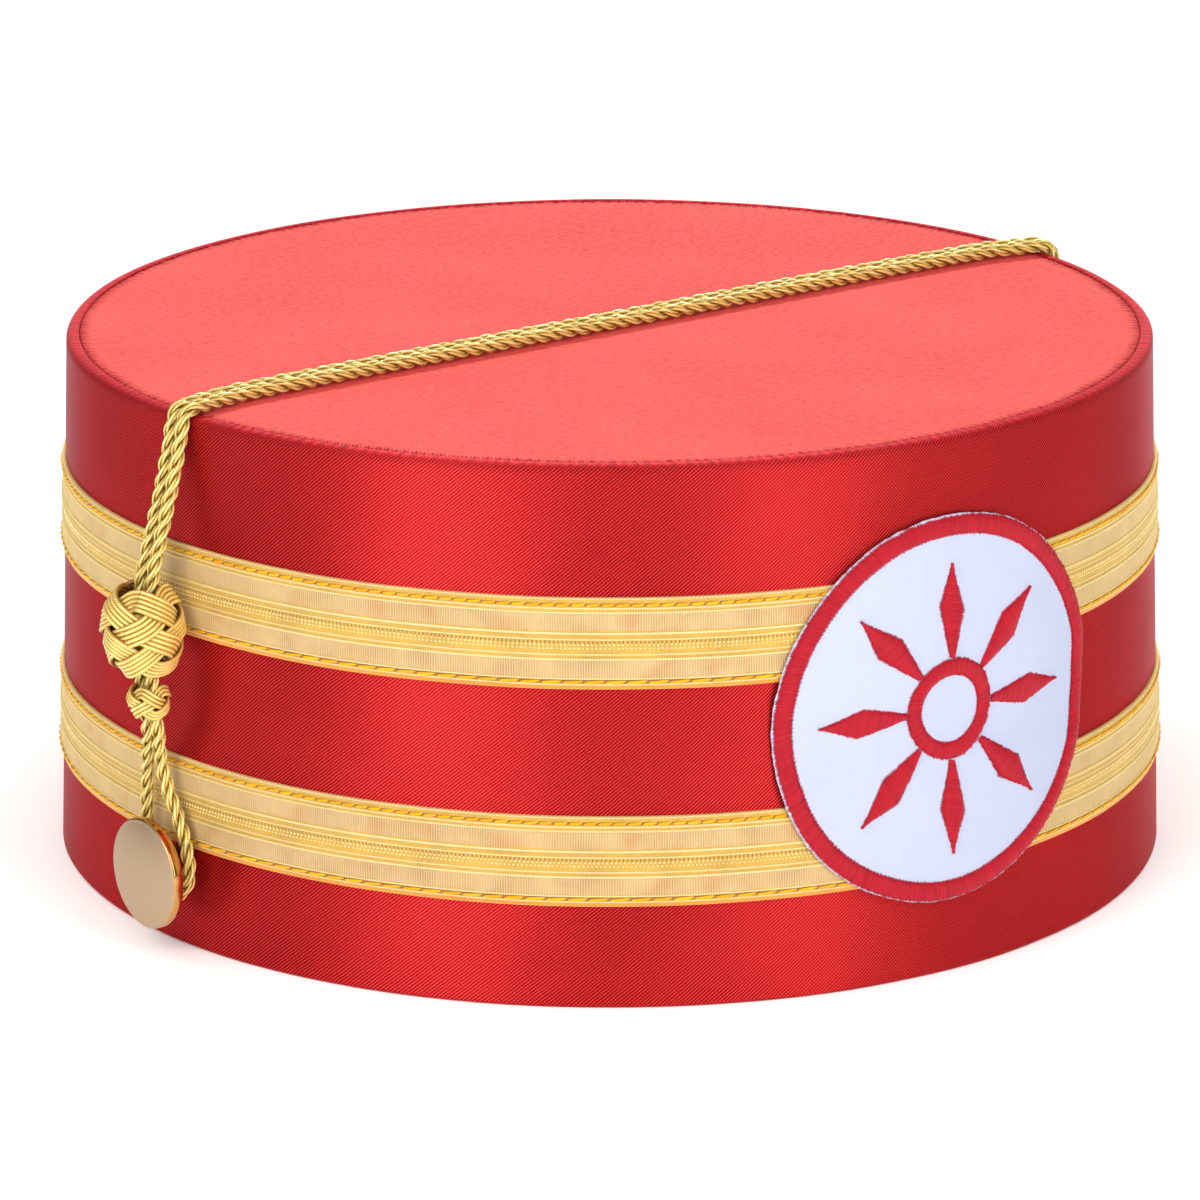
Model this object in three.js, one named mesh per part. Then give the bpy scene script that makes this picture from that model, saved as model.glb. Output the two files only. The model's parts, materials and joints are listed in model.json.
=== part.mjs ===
// A ceremonial crown cap: a round drum of red satin with a flat top, two gold lace bands, a round
// embroidered patch at the front, and a doubled gold cord that runs over the top, through woven knots
// at each side, and loops round a gold button.
// Millimetres, +Z up. The origin is the middle of the hem, and the front of the cap faces -Y.
// Left and right are as seen from the front, so left is -X.
import * as THREE from "three";

// Drum
const HEM_RADIUS = 95.5;
const RIM_RADIUS = 92.8;
const HEIGHT = 90;
const WALL_THICKNESS = 2.8;
const HEM_EDGE = 0.5;
const SHOULDER_RADIUS = 2.2;
const SHOULDER_ARCS = 4;
const RIM_LIP = 0.5;
const DRUM_FACETS = 72;
const GAP = 0.3;

// Top panel
const PANEL_THICKNESS = 2.4;
const PANEL_DROP = 0.2;
const PANEL_EDGE = 0.9;

// Lace bands, by the height of each lower edge
const BAND_WIDTH = 15.1;
const BAND_GAP = 0.2;
const BAND_THICKNESS = 1;
const BAND_EDGE = 0.4;
const BANDS = [
  { name: "upper_band", bottom: 53.5 },
  { name: "lower_band", bottom: 17.3 },
];

// Patch, wrapped round the front of the drum over the bands
const PATCH_TURN = -1.9;
const PATCH_HEIGHT = 46.2;
const PATCH_RADIUS = 32.3;
const PATCH_THICKNESS = 1.1;
const PATCH_BASE = BAND_GAP + BAND_THICKNESS + GAP;
const PATCH_RINGS = 3;
const PATCH_FACETS = 36;
const STITCH_HEIGHT = 0.9;
const STITCH_EDGE = 0.35;
const STITCH_BASE = PATCH_BASE + PATCH_THICKNESS + GAP;
const BORDER_OUTER = 31.9;
const BORDER_INNER = 28.7;
const BORDER_SHOULDER = 0.9;

// Rosette: wedge petals with round ends, standing on a ring
const PETALS = 8;
const RING_INNER = 5.6;
const RING_OUTER = 8.6;
const PETAL_SHOULDER = 17;
const PETAL_TIP = 24.4;
const PETAL_HALF_ANGLE = 9;
const PETAL_SIDE_ANGLE = 1.6;
const PETAL_SHARES = [-1, -0.55, 0, 0.55, 1];
const ROSETTE_SHOULDER = 0.9;

// Cord
const CORD_DIAMETER = 2.5;
const CORD_SIDES = 8;
const CORD_SPREAD = 1.35;
const RIM_BEND_ARCS = 4;
const LOOP_RADIUS = 5.4;
const LOOP_HEIGHT = 12.2;
const LOOP_STANDOFF = 2.9;
const LOOP_ARCS = 8;

// The two sides of the cap, by the turn from the front at which the cord hangs
const SIDES = [
  { name: "left", turn: -85 },
  { name: "right", turn: 88 },
];

// The cord's middle line over the top: distance across, and ahead of the centre
const TOP_RUN = [
  { across: -78, ahead: 5.4 },
  { across: 0, ahead: 3.9 },
  { across: 78, ahead: 3.3 },
];

// Middles of the two knots, by height and distance from the wall
const SLIDE_KNOT = { height: 55.6, standoff: 9 };
const SMALL_KNOT = { height: 43.2, standoff: 6.9 };

// The hanging cord's middle line, from the rim down: its height, its distance from the wall,
// and half the distance between its two strands
const SIDE_RUN = [
  { height: 83, standoff: 2.6, spread: CORD_SPREAD },
  { height: 75, standoff: 4.8, spread: CORD_SPREAD },
  { height: 67, standoff: 7.3, spread: CORD_SPREAD },
  { height: 62, standoff: 8.5, spread: CORD_SPREAD },
  { ...SLIDE_KNOT, spread: CORD_SPREAD },
  { height: 49, standoff: 7.8, spread: CORD_SPREAD },
  { ...SMALL_KNOT, spread: CORD_SPREAD },
  { height: 38, standoff: 6, spread: CORD_SPREAD },
  { height: 31, standoff: 3.9, spread: 2.6 },
  { height: 23, standoff: 3, spread: 4.6 },
];

// Woven knots: a flat strip laid round the cord in three leads and four bights
const LEADS = 3;
const BIGHTS = 4;
const KNOTS = [
  {
    name: "slide_knot",
    ...SLIDE_KNOT,
    radius: 6.2,
    endRadius: 4.7,
    reach: 6.3,
    stripWidth: 3.2,
    stripThickness: 1.1,
    weave: 0.85,
    steps: 72,
  },
  {
    name: "small_knot",
    ...SMALL_KNOT,
    radius: 3.6,
    endRadius: 3.45,
    reach: 2.7,
    stripWidth: 1.5,
    stripThickness: 0.65,
    weave: 0.44,
    steps: 56,
  },
];

// Buttons
const BUTTON_HEIGHT = 13.6;
const BUTTON_RADIUS = 9.3;
const BUTTON_BACK = 5;
const BUTTON_RIM = 2.6;
const BUTTON_CROWN = 1.3;
const BUTTON_EDGE = 0.5;
const BUTTON_BACK_EDGE = 0.9;
const CROWN_ARCS = 3;
const SHANK_RADIUS = 3.6;
const BUTTON_FACETS = 28;

// Finishes
const redSatin = new THREE.MeshStandardMaterial({ color: 0xb81f2c, roughness: 0.5 });
const topSatin = new THREE.MeshStandardMaterial({ color: 0xd8433f, roughness: 0.55 });
const goldLace = new THREE.MeshStandardMaterial({ color: 0xdcb45a, roughness: 0.45, metalness: 0.5 });
const goldCord = new THREE.MeshStandardMaterial({ color: 0xd2a944, roughness: 0.4, metalness: 0.5 });
const goldButton = new THREE.MeshStandardMaterial({ color: 0xd9b765, roughness: 0.3, metalness: 0.9 });
const whiteTwill = new THREE.MeshStandardMaterial({ color: 0xe8e8f4, roughness: 0.8 });
const redThread = new THREE.MeshStandardMaterial({ color: 0xc4203a, roughness: 0.6 });

const UP = new THREE.Vector3(0, 0, 1);

/** Outer radius of the tapering wall at a height. */
function wallRadius(height) {
  return THREE.MathUtils.lerp(HEM_RADIUS, RIM_RADIUS, height / HEIGHT);
}

/** Direction away from the drum's axis at a turn, in radians, from the front. */
function outwardAt(turn) {
  return new THREE.Vector3(Math.sin(turn), -Math.cos(turn), 0);
}

/** Point at a turn, height and distance from the outside of the wall. */
function onDrum(turn, height, standoff) {
  return outwardAt(turn).multiplyScalar(wallRadius(height) + standoff).setZ(height);
}

/** Solid of revolution about +Z from a profile of [radius, height] points. */
function turned(profile, facets) {
  const points = profile.map(([radius, height]) => new THREE.Vector2(radius, height));
  return new THREE.LatheGeometry(points, facets).rotateX(Math.PI / 2);
}

/** Profile that closes on itself, for a ring. */
function ringProfile(profile) {
  return [...profile, profile[0]];
}

/** Closed surface through the rings of points of a closed route. */
function closedSweep(rings) {
  const sides = rings[0].length;
  const positions = rings.flat().flatMap((point) => point.toArray());
  const index = [];
  rings.forEach((ring, row) => {
    const start = row * sides;
    const next = ((row + 1) % rings.length) * sides;
    for (let side = 0; side < sides; side += 1) {
      const after = (side + 1) % sides;
      index.push(start + side, start + after, next + after);
      index.push(start + side, next + after, next + side);
    }
  });
  const geometry = new THREE.BufferGeometry();
  geometry.setAttribute("position", new THREE.Float32BufferAttribute(positions, 3));
  geometry.setIndex(index);
  geometry.computeVertexNormals();
  return geometry;
}

/** Closed tube of a section along closed stations, each a point with the direction the section faces. */
function tubeAlong(stations, section) {
  const count = stations.length;
  const rings = stations.map(({ point, facing }, row) => {
    const before = stations[(row + count - 1) % count].point;
    const after = stations[(row + 1) % count].point;
    const tangent = after.clone().sub(before).normalize();
    const across = tangent.clone().cross(facing).normalize();
    const normal = across.clone().cross(tangent);
    return section.map(
      ([out, side]) => point.clone().addScaledVector(normal, out).addScaledVector(across, side),
    );
  });
  return closedSweep(rings);
}

/** Bends a flat geometry, facing +Z, round the front of the drum at the patch's place. */
function wrapOnPatch(geometry) {
  const position = geometry.attributes.position;
  const bendRadius = wallRadius(PATCH_HEIGHT) + PATCH_BASE;
  const middle = THREE.MathUtils.degToRad(PATCH_TURN);
  for (let i = 0; i < position.count; i += 1) {
    const turn = middle + position.getX(i) / bendRadius;
    const point = onDrum(turn, PATCH_HEIGHT + position.getY(i), position.getZ(i));
    position.setXYZ(i, point.x, point.y, point.z);
  }
  geometry.computeVertexNormals();
  return geometry;
}

/** Hollow wall with a flat hem and a rim that rolls over into the seam of the top. */
function crownWall() {
  const shoulderHeight = HEIGHT - SHOULDER_RADIUS;
  const shoulderCentre = wallRadius(shoulderHeight) - SHOULDER_RADIUS;
  const shoulder = Array.from({ length: SHOULDER_ARCS + 1 }, (_, i) => {
    const angle = (i / SHOULDER_ARCS) * (Math.PI / 2);
    return [
      shoulderCentre + SHOULDER_RADIUS * Math.cos(angle),
      shoulderHeight + SHOULDER_RADIUS * Math.sin(angle),
    ];
  });
  const innerHem = HEM_RADIUS - WALL_THICKNESS;
  const innerRim = RIM_RADIUS - WALL_THICKNESS;
  return turned(
    ringProfile([
      [innerHem + HEM_EDGE, 0],
      [HEM_RADIUS - HEM_EDGE, 0],
      [wallRadius(HEM_EDGE), HEM_EDGE],
      ...shoulder,
      [innerRim, HEIGHT - RIM_LIP],
      [innerHem, HEM_EDGE],
    ]),
    DRUM_FACETS,
  );
}

/** Flat round top, with an edge that turns down into the seam. */
function topPanel() {
  const edge = RIM_RADIUS - WALL_THICKNESS - GAP;
  const top = HEIGHT - PANEL_DROP;
  const bottom = top - PANEL_THICKNESS;
  return turned(
    [
      [0, bottom],
      [edge - PANEL_EDGE, bottom],
      [edge, bottom + PANEL_EDGE],
      [edge, top - PANEL_EDGE],
      [edge - PANEL_EDGE, top],
      [0, top],
    ],
    DRUM_FACETS,
  );
}

/** Lace band that follows the taper of the wall. */
function laceBand(bottom) {
  const top = bottom + BAND_WIDTH;
  const inner = (height) => wallRadius(height) + BAND_GAP;
  const outer = (height) => inner(height) + BAND_THICKNESS;
  return turned(
    ringProfile([
      [inner(bottom), bottom],
      [outer(bottom) - BAND_EDGE, bottom],
      [outer(bottom), bottom + BAND_EDGE],
      [outer(top), top - BAND_EDGE],
      [outer(top) - BAND_EDGE, top],
      [inner(top), top],
    ]),
    DRUM_FACETS,
  );
}

/** White disc of the patch, with rings of points so that it can bend. */
function patchGround() {
  const radii = Array.from({ length: PATCH_RINGS + 1 }, (_, i) => (PATCH_RADIUS * i) / PATCH_RINGS);
  const back = radii.map((radius) => [radius, PATCH_BASE]);
  const face = radii.toReversed().map((radius) => [radius, PATCH_BASE + PATCH_THICKNESS]);
  return wrapOnPatch(turned([...back, ...face], PATCH_FACETS));
}

/** Padded ring of stitches round the edge of the patch. */
function patchBorder() {
  return wrapOnPatch(
    turned(
      ringProfile([
        [BORDER_INNER, STITCH_BASE],
        [BORDER_OUTER, STITCH_BASE],
        [BORDER_OUTER, STITCH_BASE + STITCH_EDGE],
        [BORDER_OUTER - BORDER_SHOULDER, STITCH_BASE + STITCH_HEIGHT],
        [BORDER_INNER + BORDER_SHOULDER, STITCH_BASE + STITCH_HEIGHT],
        [BORDER_INNER, STITCH_BASE + STITCH_EDGE],
      ]),
      PATCH_FACETS,
    ),
  );
}

/** Turns and outer radii that trace one petal, from the ring up one side, over the tip and down. */
function petalOutline(middle) {
  const half = THREE.MathUtils.degToRad(PETAL_HALF_ANGLE);
  const foot = half + THREE.MathUtils.degToRad(PETAL_SIDE_ANGLE);
  const end = PETAL_SHARES.map((share) => ({
    turn: middle + half * share,
    outer: PETAL_SHOULDER + (PETAL_TIP - PETAL_SHOULDER) * Math.sqrt(1 - share * share),
  }));
  return [
    { turn: middle - foot, outer: RING_OUTER },
    ...end,
    { turn: middle + foot, outer: RING_OUTER },
  ];
}

/** Ring and petals as one padded body. */
function patchRosette() {
  const outline = Array.from({ length: PETALS }, (_, i) => petalOutline((i * 2 * Math.PI) / PETALS)).flat();
  const face = STITCH_BASE + STITCH_HEIGHT;
  const rings = outline.map(({ turn, outer }) => {
    const middle = (RING_INNER + outer) / 2;
    const section = [
      [RING_INNER, STITCH_BASE],
      [middle, STITCH_BASE],
      [outer, STITCH_BASE],
      [outer - ROSETTE_SHOULDER, face],
      [middle, face],
      [RING_INNER + ROSETTE_SHOULDER, face],
    ];
    return section.map(
      ([radius, lift]) => new THREE.Vector3(radius * Math.sin(turn), radius * Math.cos(turn), lift),
    );
  });
  return wrapOnPatch(closedSweep(rings));
}

/** Directions of one side of the cap: outwards, and along the wall towards the front. */
function sideFrame({ turn }) {
  const outward = outwardAt(THREE.MathUtils.degToRad(turn));
  const forward = outward.clone().cross(UP).multiplyScalar(Math.sign(turn));
  return { outward, forward };
}

/** Stations of the middle line down one side, over the rim and along the wall. */
function sideStations(side) {
  const { outward, forward } = sideFrame(side);
  const shoulderHeight = HEIGHT - SHOULDER_RADIUS;
  const bend = SHOULDER_RADIUS + GAP + CORD_DIAMETER / 2;
  const bendCentre = wallRadius(shoulderHeight) - SHOULDER_RADIUS;
  const rim = Array.from({ length: RIM_BEND_ARCS }, (_, i) => {
    const angle = (i / RIM_BEND_ARCS) * (Math.PI / 2);
    const facing = outward.clone().multiplyScalar(Math.sin(angle)).addScaledVector(UP, Math.cos(angle));
    const centre = outward.clone().multiplyScalar(bendCentre).setZ(shoulderHeight);
    return { point: centre.addScaledVector(facing, bend), facing, forward, spread: CORD_SPREAD };
  });
  const hanging = SIDE_RUN.map(({ height, standoff, spread }) => ({
    point: outward.clone().multiplyScalar(wallRadius(height) + standoff).setZ(height),
    facing: outward,
    forward,
    spread,
  }));
  return [...rim, ...hanging];
}

/** Stations of the half circle under a button, from the front strand round to the back one. */
function loopStations(side) {
  const { outward, forward } = sideFrame(side);
  const centre = outward.clone().multiplyScalar(wallRadius(LOOP_HEIGHT) + LOOP_STANDOFF).setZ(LOOP_HEIGHT);
  return Array.from({ length: LOOP_ARCS + 1 }, (_, i) => {
    const angle = (i / LOOP_ARCS) * Math.PI;
    const point = centre.clone()
      .addScaledVector(forward, LOOP_RADIUS * Math.cos(angle))
      .addScaledVector(UP, -LOOP_RADIUS * Math.sin(angle));
    return { point, facing: outward };
  });
}

/** The whole closed cord: the front strand from left to right, a loop, the back strand, a loop. */
function cord() {
  const [left, right] = SIDES;
  const topHeight = HEIGHT + GAP + CORD_DIAMETER / 2;
  const top = TOP_RUN.map(({ across, ahead }) => ({
    point: new THREE.Vector3(across, -ahead, topHeight),
    facing: UP,
    forward: new THREE.Vector3(0, -1, 0),
    spread: CORD_SPREAD,
  }));
  const middle = [...sideStations(left).toReversed(), ...top, ...sideStations(right)];
  const strand = (sign) => middle.map(({ point, facing, forward, spread }) => ({
    point: point.clone().addScaledVector(forward, sign * spread),
    facing,
  }));
  const section = Array.from({ length: CORD_SIDES }, (_, i) => {
    const angle = ((i + 0.5) / CORD_SIDES) * 2 * Math.PI;
    return [(CORD_DIAMETER / 2) * Math.cos(angle), (CORD_DIAMETER / 2) * Math.sin(angle)];
  });
  const stations = [
    ...strand(1),
    ...loopStations(right),
    ...strand(-1).toReversed(),
    ...loopStations(left).toReversed(),
  ];
  return tubeAlong(stations, section);
}

/** Woven knot: one closed strip that crosses over and under itself round the hanging cord. */
function wovenKnot(side, knot) {
  const { outward, forward } = sideFrame(side);
  const centre = outward.clone().multiplyScalar(wallRadius(knot.height) + knot.standoff).setZ(knot.height);
  const wave = BIGHTS / LEADS;
  const stations = Array.from({ length: knot.steps }, (_, i) => {
    const turn = (i / knot.steps) * 2 * Math.PI * LEADS;
    const share = Math.cos(wave * turn);
    const taper = (knot.radius - knot.endRadius) * share;
    const radius = knot.radius - taper * share + knot.weave * Math.sin(2 * wave * turn);
    const around = outward.clone().multiplyScalar(Math.cos(turn)).addScaledVector(forward, Math.sin(turn));
    const facing = around.clone().addScaledVector(UP, (2 * taper) / knot.reach).normalize();
    const point = centre.clone().addScaledVector(around, radius).addScaledVector(UP, knot.reach * share);
    return { point, facing };
  });
  const halfWidth = knot.stripWidth / 2;
  const halfThickness = knot.stripThickness / 2;
  const section = [
    [halfThickness, -halfWidth / 2],
    [halfThickness, halfWidth / 2],
    [0, halfWidth],
    [-halfThickness, halfWidth / 2],
    [-halfThickness, -halfWidth / 2],
    [0, -halfWidth],
  ];
  return tubeAlong(stations, section);
}

/** Button with a low crown, turned on its own axis, with the shank towards the wall. */
function button() {
  const rimTop = BUTTON_BACK + BUTTON_RIM;
  const faceRadius = BUTTON_RADIUS - BUTTON_EDGE;
  const crown = Array.from({ length: CROWN_ARCS + 1 }, (_, i) => {
    const share = 1 - i / CROWN_ARCS;
    return [faceRadius * share, rimTop + BUTTON_CROWN * (1 - share * share)];
  });
  return turned(
    [
      [0, GAP],
      [SHANK_RADIUS, GAP],
      [SHANK_RADIUS, BUTTON_BACK],
      [BUTTON_RADIUS - BUTTON_BACK_EDGE, BUTTON_BACK],
      [BUTTON_RADIUS, BUTTON_BACK + BUTTON_BACK_EDGE],
      [BUTTON_RADIUS, rimTop - BUTTON_EDGE],
      ...crown,
    ],
    BUTTON_FACETS,
  );
}

/** Named piece with its finish. */
function piece(name, geometry, material) {
  const mesh = new THREE.Mesh(geometry, material);
  mesh.name = name;
  return mesh;
}

const cap = new THREE.Group();
cap.add(piece("crown_wall", crownWall(), redSatin));
cap.add(piece("top_panel", topPanel(), topSatin));
BANDS.forEach(({ name, bottom }) => cap.add(piece(name, laceBand(bottom), goldLace)));
cap.add(piece("patch_ground", patchGround(), whiteTwill));
cap.add(piece("patch_border", patchBorder(), redThread));
cap.add(piece("patch_rosette", patchRosette(), redThread));
cap.add(piece("cord", cord(), goldCord));
SIDES.forEach((side) => {
  KNOTS.forEach((knot) => cap.add(piece(`${knot.name}_${side.name}`, wovenKnot(side, knot), goldCord)));
  const { outward } = sideFrame(side);
  const fastener = piece(`button_${side.name}`, button(), goldButton);
  fastener.position.copy(outward).multiplyScalar(wallRadius(BUTTON_HEIGHT)).setZ(BUTTON_HEIGHT);
  fastener.quaternion.setFromUnitVectors(UP, outward);
  cap.add(fastener);
});

export default cap;
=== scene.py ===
"""Looks of the ceremonial crown cap: a red satin drum with gold lace, a twisted cord, knots and buttons."""
import json
import logging
import math
from collections.abc import Mapping, Sequence
from dataclasses import dataclass
from enum import Enum
from typing import Any

import bpy
import numpy as np
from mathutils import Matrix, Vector

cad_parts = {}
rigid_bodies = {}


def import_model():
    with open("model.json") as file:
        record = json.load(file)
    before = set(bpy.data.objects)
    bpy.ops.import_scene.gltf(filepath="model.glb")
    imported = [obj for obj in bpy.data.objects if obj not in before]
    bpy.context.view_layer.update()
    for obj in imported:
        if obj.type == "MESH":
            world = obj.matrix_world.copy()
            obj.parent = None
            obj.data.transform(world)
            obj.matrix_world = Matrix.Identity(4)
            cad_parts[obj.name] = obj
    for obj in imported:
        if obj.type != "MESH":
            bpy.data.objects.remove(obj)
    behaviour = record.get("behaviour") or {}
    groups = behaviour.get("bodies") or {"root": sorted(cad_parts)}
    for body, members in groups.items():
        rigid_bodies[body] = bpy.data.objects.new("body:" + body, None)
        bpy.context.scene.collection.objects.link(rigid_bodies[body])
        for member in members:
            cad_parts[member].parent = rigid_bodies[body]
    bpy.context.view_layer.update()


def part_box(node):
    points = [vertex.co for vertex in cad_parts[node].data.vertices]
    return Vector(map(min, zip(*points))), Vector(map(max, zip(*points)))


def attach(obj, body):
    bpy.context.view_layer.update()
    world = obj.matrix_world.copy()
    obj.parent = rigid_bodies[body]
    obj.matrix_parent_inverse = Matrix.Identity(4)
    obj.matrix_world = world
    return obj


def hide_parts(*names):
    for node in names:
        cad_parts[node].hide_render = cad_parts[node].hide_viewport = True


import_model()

BODY = "root"
UV_NAME = "cloth"
MM = 0.001
TAU = 2 * math.pi
TINY = 1e-6
UP = np.array([0.0, 0.0, 1.0])
SEED = 20
PANEL_SEED = SEED + 1
PATCH_SEED = SEED + 3
THREAD_SEED = SEED + 7
SHOULDER = 1.2 * MM
PANEL_RADIUS = 90.55 * MM
LACE_WIDTH = 15.1 * MM

Array = np.ndarray
Colour = tuple[float, float, float]
Grain = tuple[float, float, float]

log = logging.getLogger("crown_cap")


def srgb(*values: int) -> Colour:
    """Turn display values of red, green and blue, from 0 to 255, into a linear colour."""
    shares = [value / 255 for value in values]
    return tuple(s / 12.92 if s <= 0.04045 else ((s + 0.055) / 1.055) ** 2.4 for s in shares)


def unit(vectors: Array) -> Array:
    """Scale vectors to a length of one."""
    return vectors / np.linalg.norm(vectors, axis=-1, keepdims=True)


def polar(radius: Array, angle: Array) -> Array:
    """Give flat places from their distance and angle."""
    return np.stack([radius * np.cos(angle), radius * np.sin(angle)], -1)


def spline(points: Array, step: float, least: float = 0.2) -> Array:
    """Draw a smooth closed line through points.

    Args:
        points: The points, one a row.
        step: Greatest distance between two points of the line.
        least: Least length of a neighbouring span that counts, as a share of the span itself.

    Returns:
        The points of the line, without its first point again at the end.
    """
    before, start, end, after = (np.roll(points, -shift, axis=0) for shift in (-1, 0, 1, 2))
    span = np.linalg.norm(end - start, axis=1)
    back = np.maximum(np.linalg.norm(start - before, axis=1), span * least)
    ahead = np.maximum(np.linalg.norm(after - end, axis=1), span * least)
    leave = (end - before) / (back + span)[:, None] * span[:, None]
    arrive = (after - start) / (span + ahead)[:, None] * span[:, None]
    pieces = []
    for index, length in enumerate(span):
        parts = max(2, math.ceil(length / step))
        share = (np.arange(parts) / parts)[:, None]
        square, cube = share ** 2, share ** 3
        pieces.append(
            start[index] * (2 * cube - 3 * square + 1)
            + leave[index] * (cube - 2 * square + share)
            + end[index] * (3 * square - 2 * cube)
            + arrive[index] * (cube - square)
        )
    return np.concatenate(pieces)


def arc(middle: tuple[float, float], radius: float, start: float, end: float, parts: int) -> Array:
    """List the points of an arc in the plane of a profile.

    Args:
        middle: Middle of the arc.
        radius: Radius of the arc.
        start: First angle in degrees.
        end: Last angle in degrees.
        parts: Number of straight parts.

    Returns:
        The points from the first angle to the last.
    """
    return middle + polar(radius, np.radians(np.linspace(start, end, parts + 1)))


def lathe(centre: Array, axis: Array, spokes: Array, profile: Array) -> Array:
    """Turn a profile round an axis.

    Args:
        centre: Where the profile's radius and height are 0.
        axis: Direction of the height.
        spokes: Directions out from the axis, one a place.
        profile: Radius and height of each ring.

    Returns:
        Points by ring and place.
    """
    return centre + spokes[None] * profile[:, :1, None] + axis * profile[:, 1, None, None]


class Socket:
    """An output of a node, with arithmetic that adds Math nodes to its tree."""

    def __init__(self, graph: "Graph", output: bpy.types.NodeSocket) -> None:
        """Keep the output and the graph that it belongs to."""
        self.graph = graph
        self.output = output

    def other(self, name: str) -> "Socket":
        """Give another output of the same node."""
        return Socket(self.graph, self.output.node.outputs[name])

    def math(self, operation: str, *values: "Number", clamp: bool = False) -> "Socket":
        """Feed this output and more values to a Math node."""
        return self.graph.math(operation, self, *values, clamp=clamp)

    def clamped(self) -> "Socket":
        """Keep the value from 0 to 1."""
        return self.math("ADD", 0.0, clamp=True)

    def wave(self) -> "Socket":
        """Give a wave from 0 to 1 that peaks at every whole number."""
        return (self * TAU).math("COSINE") * 0.5 + 0.5

    def __add__(self, value: "Number") -> "Socket":
        """Add a value."""
        return self.math("ADD", value)

    def __radd__(self, value: "Number") -> "Socket":
        """Add this to a value."""
        return self.graph.math("ADD", value, self)

    def __sub__(self, value: "Number") -> "Socket":
        """Take a value away."""
        return self.math("SUBTRACT", value)

    def __rsub__(self, value: "Number") -> "Socket":
        """Take this away from a value."""
        return self.graph.math("SUBTRACT", value, self)

    def __mul__(self, value: "Number") -> "Socket":
        """Multiply by a value."""
        return self.math("MULTIPLY", value)

    def __rmul__(self, value: "Number") -> "Socket":
        """Multiply a value by this."""
        return self.graph.math("MULTIPLY", value, self)

    def __truediv__(self, value: "Number") -> "Socket":
        """Divide by a value."""
        return self.math("DIVIDE", value)

    def __rtruediv__(self, value: "Number") -> "Socket":
        """Divide a value by this."""
        return self.graph.math("DIVIDE", value, self)

    def __pow__(self, value: "Number") -> "Socket":
        """Raise to a power."""
        return self.math("POWER", value)

    def __rpow__(self, value: "Number") -> "Socket":
        """Raise a value to the power of this."""
        return self.graph.math("POWER", value, self)

    def __neg__(self) -> "Socket":
        """Turn the sign."""
        return self.math("MULTIPLY", -1.0)


Number = Socket | float


class Graph:
    """A node tree under construction, for a material or for geometry."""

    def __init__(self, tree: bpy.types.NodeTree) -> None:
        """Keep the tree."""
        self.tree = tree

    def add(
        self,
        kind: str,
        settings: Mapping[str, Any] | None = None,
        inputs: Mapping[str | int, Any] | None = None,
        output: str | int = 0,
    ) -> Socket:
        """Add a node.

        Args:
            kind: Type of the node.
            settings: Its settings, set first; "stops" are the places and colours of a ramp.
            inputs: Values or links of its sockets, by name or place.
            output: The output that is wanted.

        Returns:
            The wanted output.
        """
        node = self.tree.nodes.new(kind)
        for name, value in (settings or {}).items():
            if name == "stops":
                self.set_stops(node.color_ramp, value)
            else:
                setattr(node, name, value)
        for name, value in (inputs or {}).items():
            self.feed(node.inputs[name], value)
        return Socket(self, node.outputs[output])

    def set_stops(self, ramp: bpy.types.ColorRamp, stops: Sequence[tuple[float, Colour]]) -> None:
        """Set the places and colours of a ramp."""
        while len(ramp.elements) < len(stops):
            ramp.elements.new(1.0)
        for element, (place, colour) in zip(ramp.elements, stops):
            element.position = place
            element.color = (*colour, 1.0)

    def feed(self, target: bpy.types.NodeSocket, value: Any) -> None:
        """Link or set one input.

        Args:
            target: The input.
            value: An output to link, or a plain value; a colour may have three parts.
        """
        if isinstance(value, Socket):
            self.tree.links.new(value.output, target)
        elif target.type == "RGBA" and len(value) == 3:
            target.default_value = (*value, 1.0)
        else:
            target.default_value = value

    def math(self, operation: str, *values: Number, clamp: bool = False) -> Socket:
        """Add a Math node."""
        settings = {"operation": operation, "use_clamp": clamp}
        return self.add("ShaderNodeMath", settings, dict(enumerate(values)))

    def vector(self, operation: str, *values: Any, output: str = "Vector") -> Socket:
        """Add a Vector Math node."""
        return self.add("ShaderNodeVectorMath", {"operation": operation}, dict(enumerate(values)), output)

    def combine(self, x: Number, y: Number, z: Number) -> Socket:
        """Join three numbers into a vector."""
        return self.add("ShaderNodeCombineXYZ", None, {"X": x, "Y": y, "Z": z})

    def separate(self, vector: Socket) -> tuple[Socket, Socket, Socket]:
        """Split a vector into three numbers."""
        x = self.add("ShaderNodeSeparateXYZ", None, {"Vector": vector})
        return x, x.other("Y"), x.other("Z")


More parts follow.
